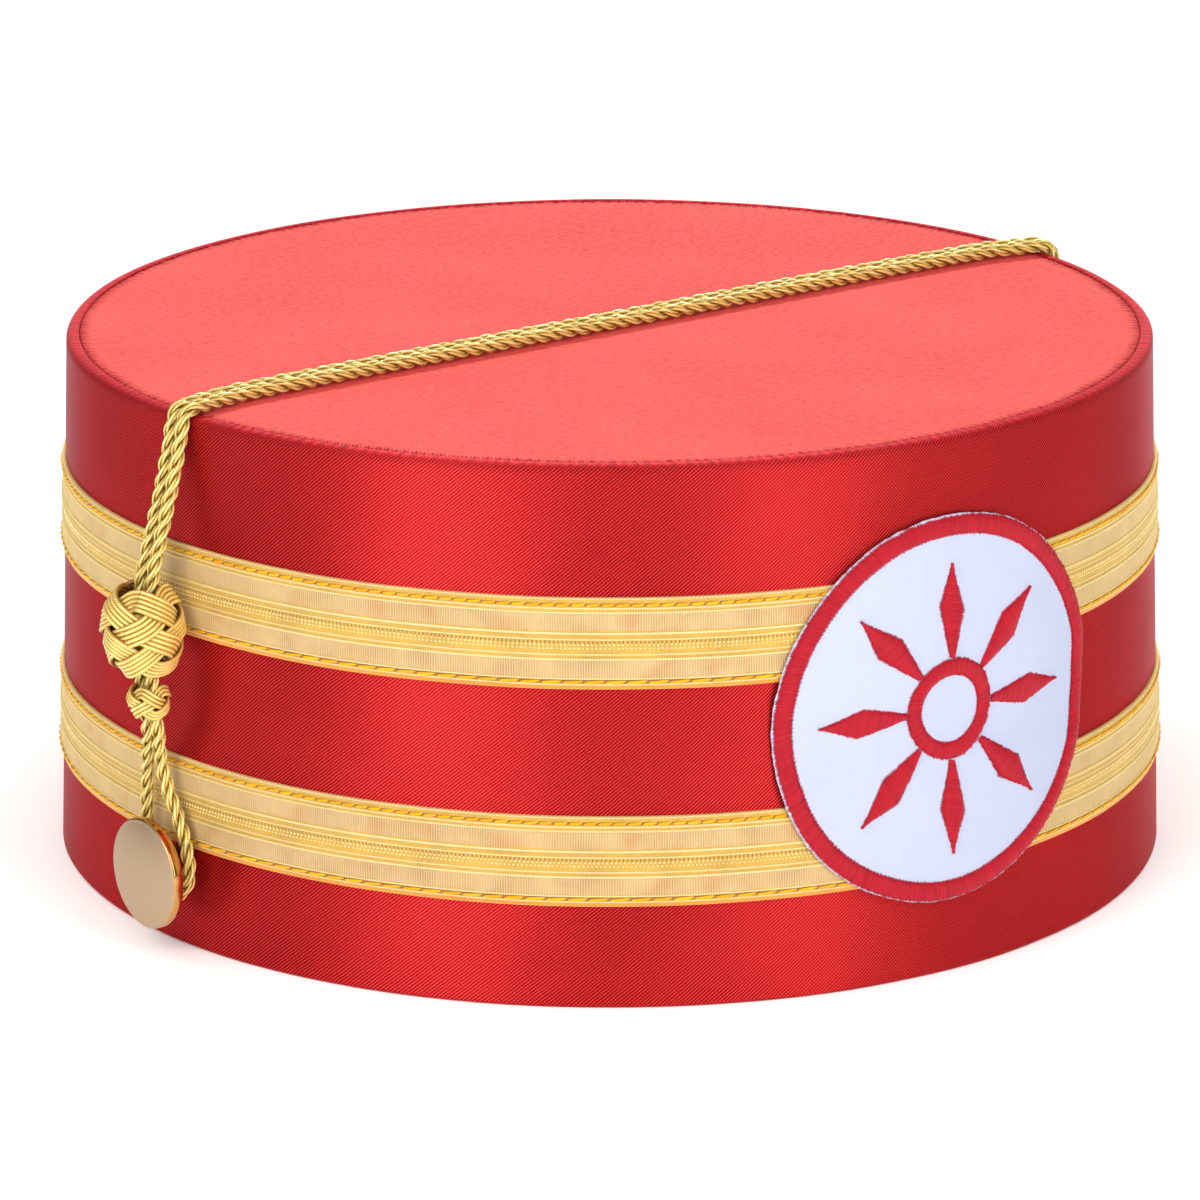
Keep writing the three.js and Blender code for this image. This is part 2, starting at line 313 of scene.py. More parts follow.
class Paint(Graph):
    """The node tree of one material."""

    sockets = {
        "base": "Base Color",
        "roughness": "Roughness",
        "metallic": "Metallic",
        "normal": "Normal",
        "anisotropic": "Anisotropic",
        "anisotropic_turn": "Anisotropic Rotation",
        "specular": "Specular IOR Level",
        "specular_tint": "Specular Tint",
        "sheen": "Sheen Weight",
        "sheen_tint": "Sheen Tint",
        "sheen_roughness": "Sheen Roughness",
        "glow": "Emission Color",
        "glow_strength": "Emission Strength",
    }

    def __init__(self, name: str) -> None:
        """Start a material with a Principled shader."""
        self.material = bpy.data.materials.new(name)
        self.material.use_nodes = True
        super().__init__(self.material.node_tree)
        self.shader = self.tree.nodes["Principled BSDF"]

    def finish(self, **inputs: Any) -> bpy.types.Material:
        """Feed the shader's sockets by their short names."""
        for name, value in inputs.items():
            self.feed(self.shader.inputs[self.sockets[name]], value)
        return self.material

    def uv(self) -> tuple[Socket, Socket, Socket]:
        """Give the two lengths of the piece's own map, in metres, and both as a vector."""
        u, v, _ = self.separate(self.add("ShaderNodeUVMap", {"uv_map": UV_NAME}))
        return u, v, self.combine(u, v, 0.0)

    def slanted(self, u: Socket, v: Socket, slope: float) -> tuple[Socket, Socket]:
        """Give the lengths along and across ribs that climb at a slope."""
        sine, cosine = math.sin(slope), math.cos(slope)
        return u * cosine + v * sine, v * cosine - u * sine

    def place(self) -> Socket:
        """Give the place on the object, in metres."""
        return self.add("ShaderNodeTexCoord", output="Object")

    def attribute(self, name: str, output: str = "Fac") -> Socket:
        """Read an attribute of the mesh."""
        return self.add("ShaderNodeAttribute", {"attribute_name": name}, None, output)

    def noise(self, vector: Socket, scale: float, detail: float = 2.0) -> Socket:
        """Add smooth noise from 0 to 1, with scale waves to the metre."""
        return self.add("ShaderNodeTexNoise", None, {"Vector": vector, "Scale": scale, "Detail": detail})

    def streaks(self, u: Socket, v: Socket, grain: Grain) -> Socket:
        """Add noise from 0 to 1; the grain is the waves to the metre of both lengths, and a slice."""
        return self.noise(self.combine(u * grain[0], v * grain[1], grain[2]), 1.0)

    def mix(self, share: Number, first: Any, second: Any) -> Socket:
        """Mix two colours."""
        inputs = {0: share, 6: first, 7: second}
        return self.add("ShaderNodeMix", {"data_type": "RGBA"}, inputs, 2)

    def ramp(self, share: Socket, stops: Sequence[tuple[float, Colour]]) -> Socket:
        """Colour a value by the stops of a ramp."""
        return self.add("ShaderNodeValToRGB", {"stops": stops}, {"Fac": share})

    def band(self, value: Socket, start: float, end: float, soft: float) -> Socket:
        """Give 1 between two values and 0 outside, with soft ends."""
        rise = ((value - start) / soft + 0.5).clamped()
        fall = ((end - value) / soft + 0.5).clamped()
        return rise * fall

    def bump(self, height: Socket, distance: float) -> Socket:
        """Turn a height from 0 to 1 into a normal."""
        return self.add("ShaderNodeBump", None, {"Height": height, "Distance": distance}, "Normal")


@dataclass(frozen=True)
class SatinTwill:
    """Red satin with fine slanted ribs, for the wall, gathered into pleats on the rim; highlights and shade
    on the ribs and pleats are painted into the colour.
    """

    name: str = "wall_satin_twill"
    rib: Colour = srgb(245, 56, 56)
    groove_shade: Colour = srgb(104, 2, 8)
    pleat_highlight: Colour = srgb(222, 44, 52)
    pleat_shade: Colour = srgb(160, 20, 30)
    gloss: Colour = (0.78, 0.36, 0.4)
    slope: float = math.radians(40)
    period: float = 0.461 * MM
    bead: float = 0.48 * MM
    wander: float = 0.5
    drift_waves: float = 260.0
    cloud_waves: float = 45.0
    cloud_level: float = 0.25
    thread_grain: Grain = (1900.0, 4200.0, 0.0)
    column_grain: Grain = (1500.0, 22.0, 7.0)
    rib_level: float = 0.42
    bead_glint_level: float = 0.44
    thread_level: float = 0.3
    thread_drop: float = 0.1
    contrast: float = 1.15
    darkening: float = 0.08
    depth: float = 0.027 * MM
    column_depth: float = 0.1
    roughness: float = 0.38
    groove_shade_roughness: float = 0.1
    metallic: float = 0.76
    rim_start: float = 90.1 * MM
    rim_soft: float = 0.6 * MM
    dull_start: float = 88.6 * MM
    dull_soft: float = 2.0 * MM
    dull_level: float = 0.34
    pleat_pitch: float = 2.1 * MM
    pleat_wander: float = 1.6
    pleat_level: float = 0.6
    pleat_depth: float = 3.0
    gather_grain: Grain = (260.0, 0.0, 0.0)
    pleat_grain: Grain = (1500.0, 60.0, 2.0)

    def material(self) -> bpy.types.Material:
        """Build the material on the wall's own map."""
        paint = Paint(self.name)
        u, v, flat = paint.uv()
        along, across = paint.slanted(u, v, self.slope)
        drift = paint.noise(flat, self.drift_waves) - 0.5
        wave = (across / self.period + drift * self.wander).wave()
        threads = paint.streaks(along, across, self.thread_grain)
        bead_glints = (along / self.bead + threads * self.wander).wave()
        columns = paint.streaks(u, v, self.column_grain)
        # Painted light: the rib crests and the bead glints along them are painted bright, and the grooves
        # between them are painted dark as shade.
        raised = wave * (self.rib_level + bead_glints * self.bead_glint_level + threads * self.thread_level)
        rib = raised + threads * self.thread_level - self.thread_drop
        cloud = (paint.noise(flat, self.cloud_waves, detail=3.0) - 0.5) * self.cloud_level
        shade = (rib * self.contrast - self.darkening + cloud).clamped()
        rim = ((v - self.rim_start) / self.rim_soft).clamped()
        dull = ((v - self.dull_start) / self.dull_soft).clamped() * self.dull_level
        gather = u / self.pleat_pitch + paint.streaks(u, v, self.gather_grain) * self.pleat_wander
        # Painted light and shade on the rim: the pleats' ridges are painted lighter and their valleys darker.
        pleat = (gather.wave() - 0.5) * self.pleat_level + paint.streaks(u, v, self.pleat_grain)
        edge = paint.mix(pleat.clamped(), self.pleat_shade, self.pleat_highlight)
        relief = (rib + columns * self.column_depth) * (1.0 - rim) + pleat * rim * self.pleat_depth
        return paint.finish(
            base=paint.mix(rim, paint.mix(shade, self.groove_shade, self.rib), edge),
            roughness=self.roughness + (1.0 - wave) * self.groove_shade_roughness + dull,
            metallic=self.metallic - dull,
            normal=paint.bump(relief, self.depth),
            specular=0.7,
            specular_tint=self.gloss,
            anisotropic=0.95,
            anisotropic_turn=0.25,
        )


@dataclass(frozen=True)
class PanelSatin:
    """Bright red satin of the top, drawn in and shaded along its sewn edge."""

    name: str = "top_satin"
    light: Colour = srgb(246, 106, 98)
    dark: Colour = srgb(208, 54, 51)
    fold: Colour = srgb(160, 4, 14)
    streak_grain: Grain = (1700.0, 420.0, 0.0)
    cross_grain: Grain = (420.0, 1700.0, 3.0)
    grain_waves: float = 900.0
    grain_level: float = 0.9
    cloud_waves: float = 30.0
    darkening: float = 0.68
    depth: float = 0.03 * MM
    fold_depth: float = 3.0
    roughness: float = 0.75
    streak_roughness: float = 0.1
    pucker_pitch: float = 1.7 * MM
    pucker_length: float = 2.4 * MM
    pucker_wander: float = 2.2
    pucker_contrast: float = 1.5
    pucker_drop: float = 0.35
    pucker_gap: float = 0.9
    pucker_level: float = 0.85
    gather_grain: Grain = (110.0, 0.0, 0.0)
    reach_waves: float = 90.0
    reach_slice: float = 4.0
    reach_level: float = 1.4
    rib_pitch: float = 0.7 * MM
    rib_length: float = 2.2 * MM
    rib_lean: float = 0.35
    rib_wander: float = 0.6
    rib_contrast: float = 1.2
    rib_drop: float = 0.25

    def material(self) -> bpy.types.Material:
        """Build the material on the panel's flat map."""
        paint = Paint(self.name)
        u, v, flat = paint.uv()
        streak = paint.streaks(u, v, self.streak_grain)
        cross = paint.streaks(u, v, self.cross_grain)
        grain = paint.noise(flat, self.grain_waves, detail=3.0)
        cloud = paint.noise(flat, self.cloud_waves, detail=3.0)
        cloth = (streak + cross + cloud) * 0.5 + grain * self.grain_level - self.darkening
        face = paint.mix(cloth.clamped(), self.dark, self.light)
        inward = PANEL_RADIUS - (u * u + v * v) ** 0.5
        around = u.math("ARCTAN2", -v) * PANEL_RADIUS
        loose = paint.streaks(around, inward, self.gather_grain) * self.pucker_wander
        wave = (around / self.pucker_pitch + loose).wave()
        reach = paint.noise(paint.combine(around * self.reach_waves, self.reach_slice, 0.0), 1.0) - 0.5
        near = 1.0 - inward / self.pucker_length + reach * self.reach_level
        pucker = (near * self.pucker_contrast - self.pucker_drop - (1.0 - wave) * self.pucker_gap).clamped()
        fold = (1.0 - inward / self.rib_length).clamped()
        slant = (around + inward * self.rib_lean) / self.rib_pitch + grain * self.rib_wander
        ribs = slant.wave() * self.rib_contrast - self.rib_drop
        # Painted shade: the puckers' valleys and the slanted strokes on the fold strip darken the satin
        # towards the fold colour.
        dark = (pucker * self.pucker_level + fold * ribs).clamped()
        return paint.finish(
            base=paint.mix(dark, face, self.fold),
            roughness=self.roughness + streak * self.streak_roughness,
            normal=paint.bump(cloth - dark * self.fold_depth, self.depth),
            specular=0.1,
        )


@dataclass(frozen=True)
class LaceGold:
    """Woven gold lace with cord lines, ribbed fields and a knurled middle."""

    name: str = "gold_lace"
    cord_line_highlight: Colour = srgb(240, 230, 180)
    gold: Colour = srgb(212, 169, 66)
    field: Colour = srgb(211, 177, 124)
    shadow: Colour = srgb(136, 92, 36)
    brown: Colour = srgb(120, 66, 10)
    orange: Colour = srgb(238, 148, 36)
    stain: Colour = srgb(226, 134, 66)
    sheen: Colour = srgb(255, 228, 156)
    upper_field: tuple[float, float] = (2.6 * MM, 5.35 * MM)
    lower_field: tuple[float, float] = (10.5 * MM, 13.05 * MM)
    field_soft: float = 0.2 * MM
    rib: float = 0.42 * MM
    rib_waves: float = 420.0
    rib_wander: float = 0.7
    thread_grain: Grain = (2400.0, 5200.0, 0.0)
    uneven_waves: float = 160.0
    uneven_start: float = 0.3
    uneven_contrast: float = 2.0
    shade_least: float = 0.1
    shade_level: float = 0.8
    stain_waves: float = 80.0
    stain_start: float = 0.56
    stain_contrast: float = 5.0
    stain_level: float = 0.6
    knurl: float = 0.7 * MM
    hole_row: tuple[float, float] = (7.05 * MM, 7.5 * MM)
    hole_soft: float = 0.12 * MM
    hole_contrast: float = 4.0
    hole_drop: float = 2.6
    hole_shade_level: float = 0.85
    line_least: float = 0.2
    line_ribs: float = 0.6
    line_threads: float = 0.3
    depth: float = 0.06 * MM
    roughness: float = 0.48
    gap_roughness: float = 0.2

    def stops(self) -> list[tuple[float, Colour]]:
        """List the colours across the band, by millimetres from the top edge down."""
        # The brown bands under both stitch rows are painted shade round the stitches.
        tones = (
            (0.0, self.gold), (0.85, self.gold), (1.0, self.brown), (1.3, self.brown), (1.5, self.gold),
            (2.5, self.gold), (2.65, self.field), (5.3, self.field), (5.5, self.gold), (9.95, self.gold),
            (10.55, self.field), (13.0, self.field), (13.2, self.gold), (13.65, self.brown),
            (13.95, self.brown), (14.15, self.gold), (14.45, self.orange), (15.1, self.orange),
        )
        return [(down * MM / LACE_WIDTH, tone) for down, tone in tones]

    def material(self) -> bpy.types.Material:
        """Build the material on the band's own map, with lengths from its top edge down."""
        paint = Paint(self.name)
        u, v, flat = paint.uv()
        zone = paint.ramp(v / LACE_WIDTH, self.stops())
        upper = paint.band(v, *self.upper_field, self.field_soft)
        fields = upper + paint.band(v, *self.lower_field, self.field_soft)
        ribs = (u / self.rib + paint.noise(flat, self.rib_waves) * self.rib_wander).wave()
        threads = paint.streaks(u, v, self.thread_grain)
        face = ribs * fields + threads * (1.0 - fields)
        blot = paint.noise(flat, self.stain_waves) - self.stain_start
        stain = (blot * self.stain_contrast).clamped() * fields
        worn = paint.mix(stain * self.stain_level, zone, self.stain)
        patchy = paint.noise(flat, self.uneven_waves, detail=3.0) - self.uneven_start
        uneven = (patchy * self.uneven_contrast).clamped()
        shade = (1.0 - face) * (self.shade_least + uneven * self.shade_level)
        shaded = paint.mix(shade, worn, self.shadow)
        # Painted shade: the holes of the knurled row are painted brown.
        holes = ((u / self.knurl).wave() * self.hole_contrast - self.hole_drop).clamped()
        dots = paint.band(v, *self.hole_row, self.hole_soft) * holes
        # Painted highlight: the crest of each raised cord line is painted pale, broken by ribs and threads.
        bright = self.line_least + ribs * self.line_ribs + threads * self.line_threads
        lit = paint.mix(paint.attribute("line") * bright, shaded, self.cord_line_highlight)
        return paint.finish(
            base=paint.mix(dots * self.hole_shade_level, lit, self.brown),
            roughness=self.roughness + (1.0 - face) * self.gap_roughness,
            normal=paint.bump(face - dots, self.depth),
            metallic=0.2,
            specular=0.6,
            sheen=0.9,
            sheen_tint=self.sheen,
            sheen_roughness=0.55,
        )


@dataclass(frozen=True)
class GimpGold:
    """Gold gimp thread, with a painted highlight on its crown and painted brown shade in its creases."""

    name: str
    # crease is painted shade and crown a painted highlight; body is the thread's own gold.
    crease: Colour
    body: Colour
    crown: Colour
    crease_share: float
    body_start: float = 0.45
    body_end: float = 0.74
    crown_highlight_share: float = 0.97
    crown_highlight_level: float = 0.86
    least: float = 0.1
    wrap: float = 0.5 * MM
    wrap_level: float = 0.06
    fibres: float = 3.0
    tone_waves: float = 800.0
    tone_level: float = 0.2
    depth: float = 0.025 * MM
    roughness: float = 0.24
    gap_roughness: float = 0.15

    def material(self) -> bpy.types.Material:
        """Build the material on the strand's own attributes."""
        paint = Paint(self.name)
        x, y, _ = paint.separate(paint.attribute("ring", "Vector"))
        turn = y.math("ARCTAN2", x)
        coil = paint.attribute("along") * (TAU / self.wrap) + turn * self.fibres
        wrap = coil.math("SINE") * 0.5 + 0.5
        tone = (paint.noise(paint.place(), self.tone_waves) - 0.5) * self.tone_level
        # Painted light: the ramp goes from shade in the creases through the body gold to a highlight on the
        # crown.
        crown = paint.attribute("crown") * self.crown_highlight_level + self.least
        stops = (
            (self.crease_share, self.crease), (self.body_start, self.body),
            (self.body_end, self.body), (self.crown_highlight_share, self.crown),
        )
        return paint.finish(
            base=paint.ramp((crown + wrap * self.wrap_level + tone).clamped(), stops),
            roughness=self.roughness + (1.0 - wrap) * self.gap_roughness,
            normal=paint.bump(wrap, self.depth),
            metallic=0.3,
            specular=0.8,
        )


@dataclass(frozen=True)
class Thread:
    """Sewing or embroidery thread whose tone differs from stitch to stitch."""

    name: str
    light: Colour
    dark: Colour
    roughness: float = 0.4
    metallic: float = 0.0
    sheen: float = 0.0
    fibre_waves: float = 2600.0
    fibre_level: float = 0.6
    fibre_roughness: float = 0.1
    tone_level: float = 0.7
    darkening: float = 0.15
    depth: float = 0.05 * MM

    def material(self) -> bpy.types.Material:
        """Build the material on the stitches' tone attribute."""
        paint = Paint(self.name)
        fibre = paint.noise(paint.place(), self.fibre_waves)
        tone = paint.attribute("tone") * self.tone_level + fibre * self.fibre_level
        return paint.finish(
            base=paint.mix((tone - self.darkening).clamped(), self.dark, self.light),
            roughness=self.roughness + fibre * self.fibre_roughness,
            normal=paint.bump(fibre, self.depth),
            metallic=self.metallic,
            specular=0.25,
            sheen=self.sheen,
        )


@dataclass(frozen=True)
class WhiteTwill:
    """White twill of the patch, slightly cool, with a fine slanted weave."""

    name: str = "patch_white_twill"
    light: Colour = srgb(187, 193, 217)
    dark: Colour = srgb(180, 186, 212)
    slope: float = math.radians(45)
    period: float = 0.5 * MM
    drift_waves: float = 500.0
    wander: float = 0.7
    rib_level: float = 0.7
    grain_waves: float = 2400.0
    grain_level: float = 0.4
    depth: float = 0.025 * MM
    roughness: float = 0.65
    grain_roughness: float = 0.1

    def material(self) -> bpy.types.Material:
        """Build the material on the patch's own map."""
        paint = Paint(self.name)
        u, v, flat = paint.uv()
        _, across = paint.slanted(u, v, self.slope)
        wave = (across / self.period + paint.noise(flat, self.drift_waves) * self.wander).wave()
        grain = paint.noise(flat, self.grain_waves)
        weave = (wave * self.rib_level + grain * self.grain_level).clamped()
        return paint.finish(
            base=paint.mix(weave, self.dark, self.light),
            roughness=self.roughness + grain * self.grain_roughness,
            normal=paint.bump(weave, self.depth),
            sheen=0.15,
        )


@dataclass(frozen=True)
class ButtonMetal:
    """Pale gold metal, brushed on the face and polished on the rim."""

    name: str = "button_gold"
    face: Colour = srgb(190, 164, 134)
    rim: Colour = srgb(206, 158, 92)
    brush: Grain = (9000.0, 300.0, 0.0)
    rim_roughness: float = 0.16
    face_roughness: float = 0.26
    line_roughness: float = 0.12
    depth: float = 0.006 * MM

    def material(self) -> bpy.types.Material:
        """Build the material on the button's face attribute."""
        paint = Paint(self.name)
        u, v, _ = paint.uv()
        face = paint.attribute("face")
        lines = paint.streaks(u, v, self.brush) * face
        return paint.finish(
            base=paint.mix(face, self.rim, self.face),
            roughness=self.rim_roughness + face * self.face_roughness + lines * self.line_roughness,
            normal=paint.bump(lines, self.depth),
            metallic=1.0,
        )


@dataclass(frozen=True)
class StudioWhite:
    """Matt white of the floor and the backdrop."""

    name: str
    glow: float
    colour: Colour = (0.92, 0.92, 0.92)

    def material(self) -> bpy.types.Material:
        """Build the plain material."""
        glow = {"glow": self.colour, "glow_strength": self.glow}
        return Paint(self.name).finish(base=self.colour, roughness=0.9, specular=0.1, **glow)


class GeometryTree(Graph):
    """A geometry node tree with named inputs."""

    def __init__(self, name: str, sizes: Sequence[str], counts: Sequence[str]) -> None:
        """Start a tree that also has an input for its material.

        Args:
            name: Name of the tree.
            sizes: Names of the inputs that are sizes.
            counts: Names of the inputs that are whole numbers.
        """
        super().__init__(bpy.data.node_groups.new(name, "GeometryNodeTree"))
        face = self.tree.interface
        for way in ("OUTPUT", "INPUT"):
            face.new_socket("Geometry", in_out=way, socket_type="NodeSocketGeometry")
        kinds = dict.fromkeys(sizes, "NodeSocketFloat") | dict.fromkeys(counts, "NodeSocketInt")
        self.identifiers = {
            label: face.new_socket(label, in_out="INPUT", socket_type=kind).identifier
            for label, kind in (kinds | {"Material": "NodeSocketMaterial"}).items()
        }
        self.start = self.add("NodeGroupInput")

    def read(self, label: str) -> Socket:
        """Give one of the tree's inputs."""
        return self.start.other(label)

    def named(self, name: str, kind: str = "FLOAT_VECTOR") -> Socket:
        """Read a named attribute of the geometry."""
        return self.add("GeometryNodeInputNamedAttribute", {"data_type": kind}, {"Name": name}, "Attribute")

    def store(self, geometry: Socket, name: str, value: Socket, kind: str) -> Socket:
        """Store a value of each point as a named attribute."""
        inputs = {0: geometry, "Name": name, "Value": value}
        return self.add("GeometryNodeStoreNamedAttribute", {"data_type": kind, "domain": "POINT"}, inputs)

    def close(self, geometry: Socket) -> None:
        """End the tree with real, smooth, painted geometry."""
        real = self.add("GeometryNodeRealizeInstances", None, {"Geometry": geometry})
        smooth = self.add("GeometryNodeSetShadeSmooth", None, {"Geometry": real})
        paint = {"Geometry": smooth, "Material": self.read("Material")}
        painted = self.add("GeometryNodeSetMaterial", None, paint)
        end = self.tree.nodes.new("NodeGroupOutput")
        self.feed(end.inputs[0], painted)

    def apply(self, obj: bpy.types.Object, values: Mapping[str, Any]) -> None:
        """Run the tree on an object and keep the outcome as its plain mesh.

        Args:
            obj: The object that holds the points or paths.
            values: Value of each named input.
        """
        modifier = obj.modifiers.new(self.tree.name, "NODES")
        modifier.node_group = self.tree
        for label, value in values.items():
            modifier[self.identifiers[label]] = value
        seen = obj.evaluated_get(bpy.context.evaluated_depsgraph_get())
        mesh = bpy.data.meshes.new_from_object(seen)
        obj.modifiers.clear()
        obj.data = mesh


class StitchTree(GeometryTree):
    """Lays one arched stitch on each point, turned by the point's aim and facing."""

    sides = 6
    blunt = 1.03

    def __init__(self) -> None:
        """Build the tree."""
        super().__init__("stitches", ("Width", "Height", "Arch", "Jitter"), ("Parts", "Seed"))
        tube = self.add("GeometryNodeMeshCylinder", {"fill_type": "NONE"}, {
            "Vertices": self.sides, "Side Segments": self.read("Parts"), "Radius": 0.5, "Depth": 1.0,
        })
        x, y, z = self.separate(self.add("GeometryNodeInputPosition"))
        end = (z * 2.0) ** 2.0
        taper = (self.blunt - end * end).math("SQRT")
        lift = (1.0 - end) * self.read("Arch")
        arched = self.combine(-z, x * taper, y * taper + lift)
        stitch = self.add("GeometryNodeSetPosition", None, {"Geometry": tube, "Position": arched})
        turn = self.add("FunctionNodeAxesToRotation", {"primary_axis": "X", "secondary_axis": "Z"}, {
            0: self.named("aim"), 1: self.named("facing"),
        })
        tone = self.random(self.read("Seed"))
        swell = 1.0 + (self.random(self.read("Seed") + 1.0) - 0.5) * self.read("Jitter")
        width, height = self.read("Width") * swell, self.read("Height") * swell
        laid = self.add("GeometryNodeInstanceOnPoints", None, {
            "Points": self.store(self.start, "tone", tone, "FLOAT"), "Instance": stitch,
            "Rotation": turn, "Scale": self.combine(self.named("span", "FLOAT"), width, height),
        })
        self.close(laid)

    def random(self, seed: Number) -> Socket:
        """Give each point a random number from 0 to 1."""
        return self.add("FunctionNodeRandomValue", {"data_type": "FLOAT"}, {2: 0.0, 3: 1.0, "Seed": seed}, 1)


class StrandTree(GeometryTree):
    """Turns paths into round strands, plain or laid up as plies that are bundles of threads."""

    def __init__(self) -> None:
        """Build the tree."""
        sizes = ("Radius", "Offset", "Lay", "Bundle", "Spin", "Step")
        super().__init__("strands", sizes, ("Plies", "Threads", "Sides"))
        read = self.read
        path = self.add("GeometryNodeMeshToCurve", None, {"Mesh": self.start})
        spacing = {"Curve": path, "Length": read("Step")}
        even = self.add("GeometryNodeResampleCurve", {"mode": "LENGTH"}, spacing)
        plies = self.add("GeometryNodeDuplicateElements", {"domain": "SPLINE"}, {
            "Geometry": even, "Amount": read("Plies") * read("Threads"),
        })
        length = self.add("GeometryNodeSplineParameter", output="Length")
        normal = self.add("GeometryNodeInputNormal")
        side = self.vector("CROSS_PRODUCT", self.add("GeometryNodeInputTangent"), normal)
        index = plies.other("Duplicate Index")
        thread = index.math("MODULO", read("Threads"))
        ply = (index - thread) / read("Threads")
        outward, sideways = self.turned(normal, side, length / read("Lay") + ply / read("Plies"))
        spun, _ = self.turned(outward, sideways, thread / read("Threads") - length / read("Spin"))
        place = self.vector("ADD", self.scaled(outward, read("Offset")), self.scaled(spun, read("Bundle")))
        reach = read("Offset") + read("Bundle")
        plain = reach.math("LESS_THAN", TINY)
        laid_up = self.scaled(place, 1.0 / (reach + plain))
        facing = self.vector("ADD", laid_up, self.scaled(self.named("facing"), plain))
        kept = self.store(self.store(plies, "facing", facing, "FLOAT_VECTOR"), "along", length, "FLOAT")
        moved = self.add("GeometryNodeSetPosition", None, {
            "Geometry": kept, "Offset": self.scaled(self.named("facing"), reach),
        })
        circle = self.add("GeometryNodeCurvePrimitiveCircle", {"mode": "RADIUS"}, {
            "Resolution": read("Sides"), "Radius": read("Radius"),
        })
        ring = self.store(circle, "ring", self.add("GeometryNodeInputPosition"), "FLOAT_VECTOR")
        tube = self.add("GeometryNodeCurveToMesh", None, {"Curve": moved, "Profile Curve": ring})
        # crown: how far each point faces the open side; the gimp paints it as a highlight facing out and as
        # shade in the creases.
        open_side = self.named("facing")
        crown = self.vector("DOT_PRODUCT", self.add("GeometryNodeInputNormal"), open_side, output="Value")
        self.close(self.store(tube, "crown", crown, "FLOAT"))

    def turned(self, first: Socket, second: Socket, turns: Socket) -> tuple[Socket, Socket]:
        """Turn two square directions in their plane by a number of whole turns."""
        angle = turns * TAU
        cosine, sine = angle.math("COSINE"), angle.math("SINE")
        return (
            self.vector("ADD", self.scaled(first, cosine), self.scaled(second, sine)),
            self.vector("SUBTRACT", self.scaled(second, cosine), self.scaled(first, sine)),
        )

    def scaled(self, vector: Socket, size: Number) -> Socket:
        """Scale a vector."""
        return self.add("ShaderNodeVectorMath", {"operation": "SCALE"}, {"Vector": vector, "Scale": size})


def link(name: str, data: bpy.types.ID) -> bpy.types.Object:
    """Make an object of a mesh, a light or a camera and put it in the scene."""
    obj = bpy.data.objects.new(name, data)
    bpy.context.scene.collection.objects.link(obj)
    return obj


def shape(name: str, points: Array, edges: Sequence = (), faces: Sequence = ()) -> bpy.types.Object:
    """Make an object of points, edges and faces."""
    mesh = bpy.data.meshes.new(name)
    mesh.from_pydata(points.tolist(), edges, faces)
    return link(name, mesh)


def mark(obj: bpy.types.Object, name: str, values: Array) -> None:
    """Store a number or a direction for each vertex of an object."""
    kind, part = ("FLOAT", "value") if values.ndim == 1 else ("FLOAT_VECTOR", "vector")
    layer = obj.data.attributes.new(name, kind, "POINT")
    layer.data.foreach_set(part, np.ascontiguousarray(values, dtype=np.float32).ravel())


def places_of(obj: bpy.types.Object) -> Array:
    """Give the places of an object's vertices."""
    points = np.empty(len(obj.data.vertices) * 3)
    obj.data.vertices.foreach_get("co", points)
    return points.reshape(-1, 3)


def remap(obj: bpy.types.Object, lengths: Array) -> None:
    """Map an object by two lengths of each vertex."""
    index = np.empty(len(obj.data.loops), dtype=np.int32)
    obj.data.loops.foreach_get("vertex_index", index)
    obj.data.uv_layers[UV_NAME].data.foreach_set("uv", lengths[index].ravel())


def surface(name: str, rings: Array, around: Array, across: Array, closed: bool) -> bpy.types.Object:
    """Mesh a stack of closed rings, with a map in metres.

    Args:
        name: Name of the object.
        rings: Points by ring and place, shaped (rings, places, 3).
        around: First map length of each place, and of the first place again.
        across: Second map length of each ring, and of the first ring again if closed.
        closed: Whether the last ring joins the first; otherwise both end rings are capped at their middle.

    Returns:
        The new object.
    """
    rows, places = rings.shape[:2]
    row, place = np.meshgrid(np.arange(rows if closed else rows - 1), np.arange(places), indexing="ij")
    corners = ((row, place), (row, place + 1), (row + 1, place + 1), (row + 1, place))
    quads = np.stack([(r % rows) * places + p % places for r, p in corners], -1).reshape(-1, 4)
    lengths = np.stack([np.stack([around[p], across[r]], -1) for r, p in corners], -2).reshape(-1, 2)
    points = rings.reshape(-1, 3)
    faces = quads.tolist()
    if not closed:
        caps = []
        for ring, order in ((0, -1), (rows - 1, 1)):
            index = np.arange(places)[::order] + ring * places
            middle = len(points)
            points = np.vstack([points, rings[ring].mean(axis=0)])
            caps += [(int(a), int(b), middle) for a, b in zip(index, np.roll(index, -1))]
        faces += caps
        lengths = np.vstack([lengths, np.zeros((len(caps) * 3, 2))])
    obj = shape(name, points, faces=faces)
    obj.data.uv_layers.new(name=UV_NAME).data.foreach_set("uv", lengths.ravel())
    obj.data.shade_smooth()
    return obj


def loops(name: str, paths: Sequence[Array], facing: Array) -> bpy.types.Object:
    """Make an object of bare closed paths for the strand tree.

    Args:
        name: Name of the object.
        paths: Points of each path, as many in each.
        facing: Direction of the open side at each point of every path.

    Returns:
        The new object.
    """
    count = len(facing)
    edges: list[tuple[int, int]] = []
    for first in range(0, count * len(paths), count):
        edges += [(first + place, first + (place + 1) % count) for place in range(count)]
    obj = shape(name, np.concatenate(paths), edges)
    mark(obj, "facing", np.concatenate([facing] * len(paths)))
    return obj


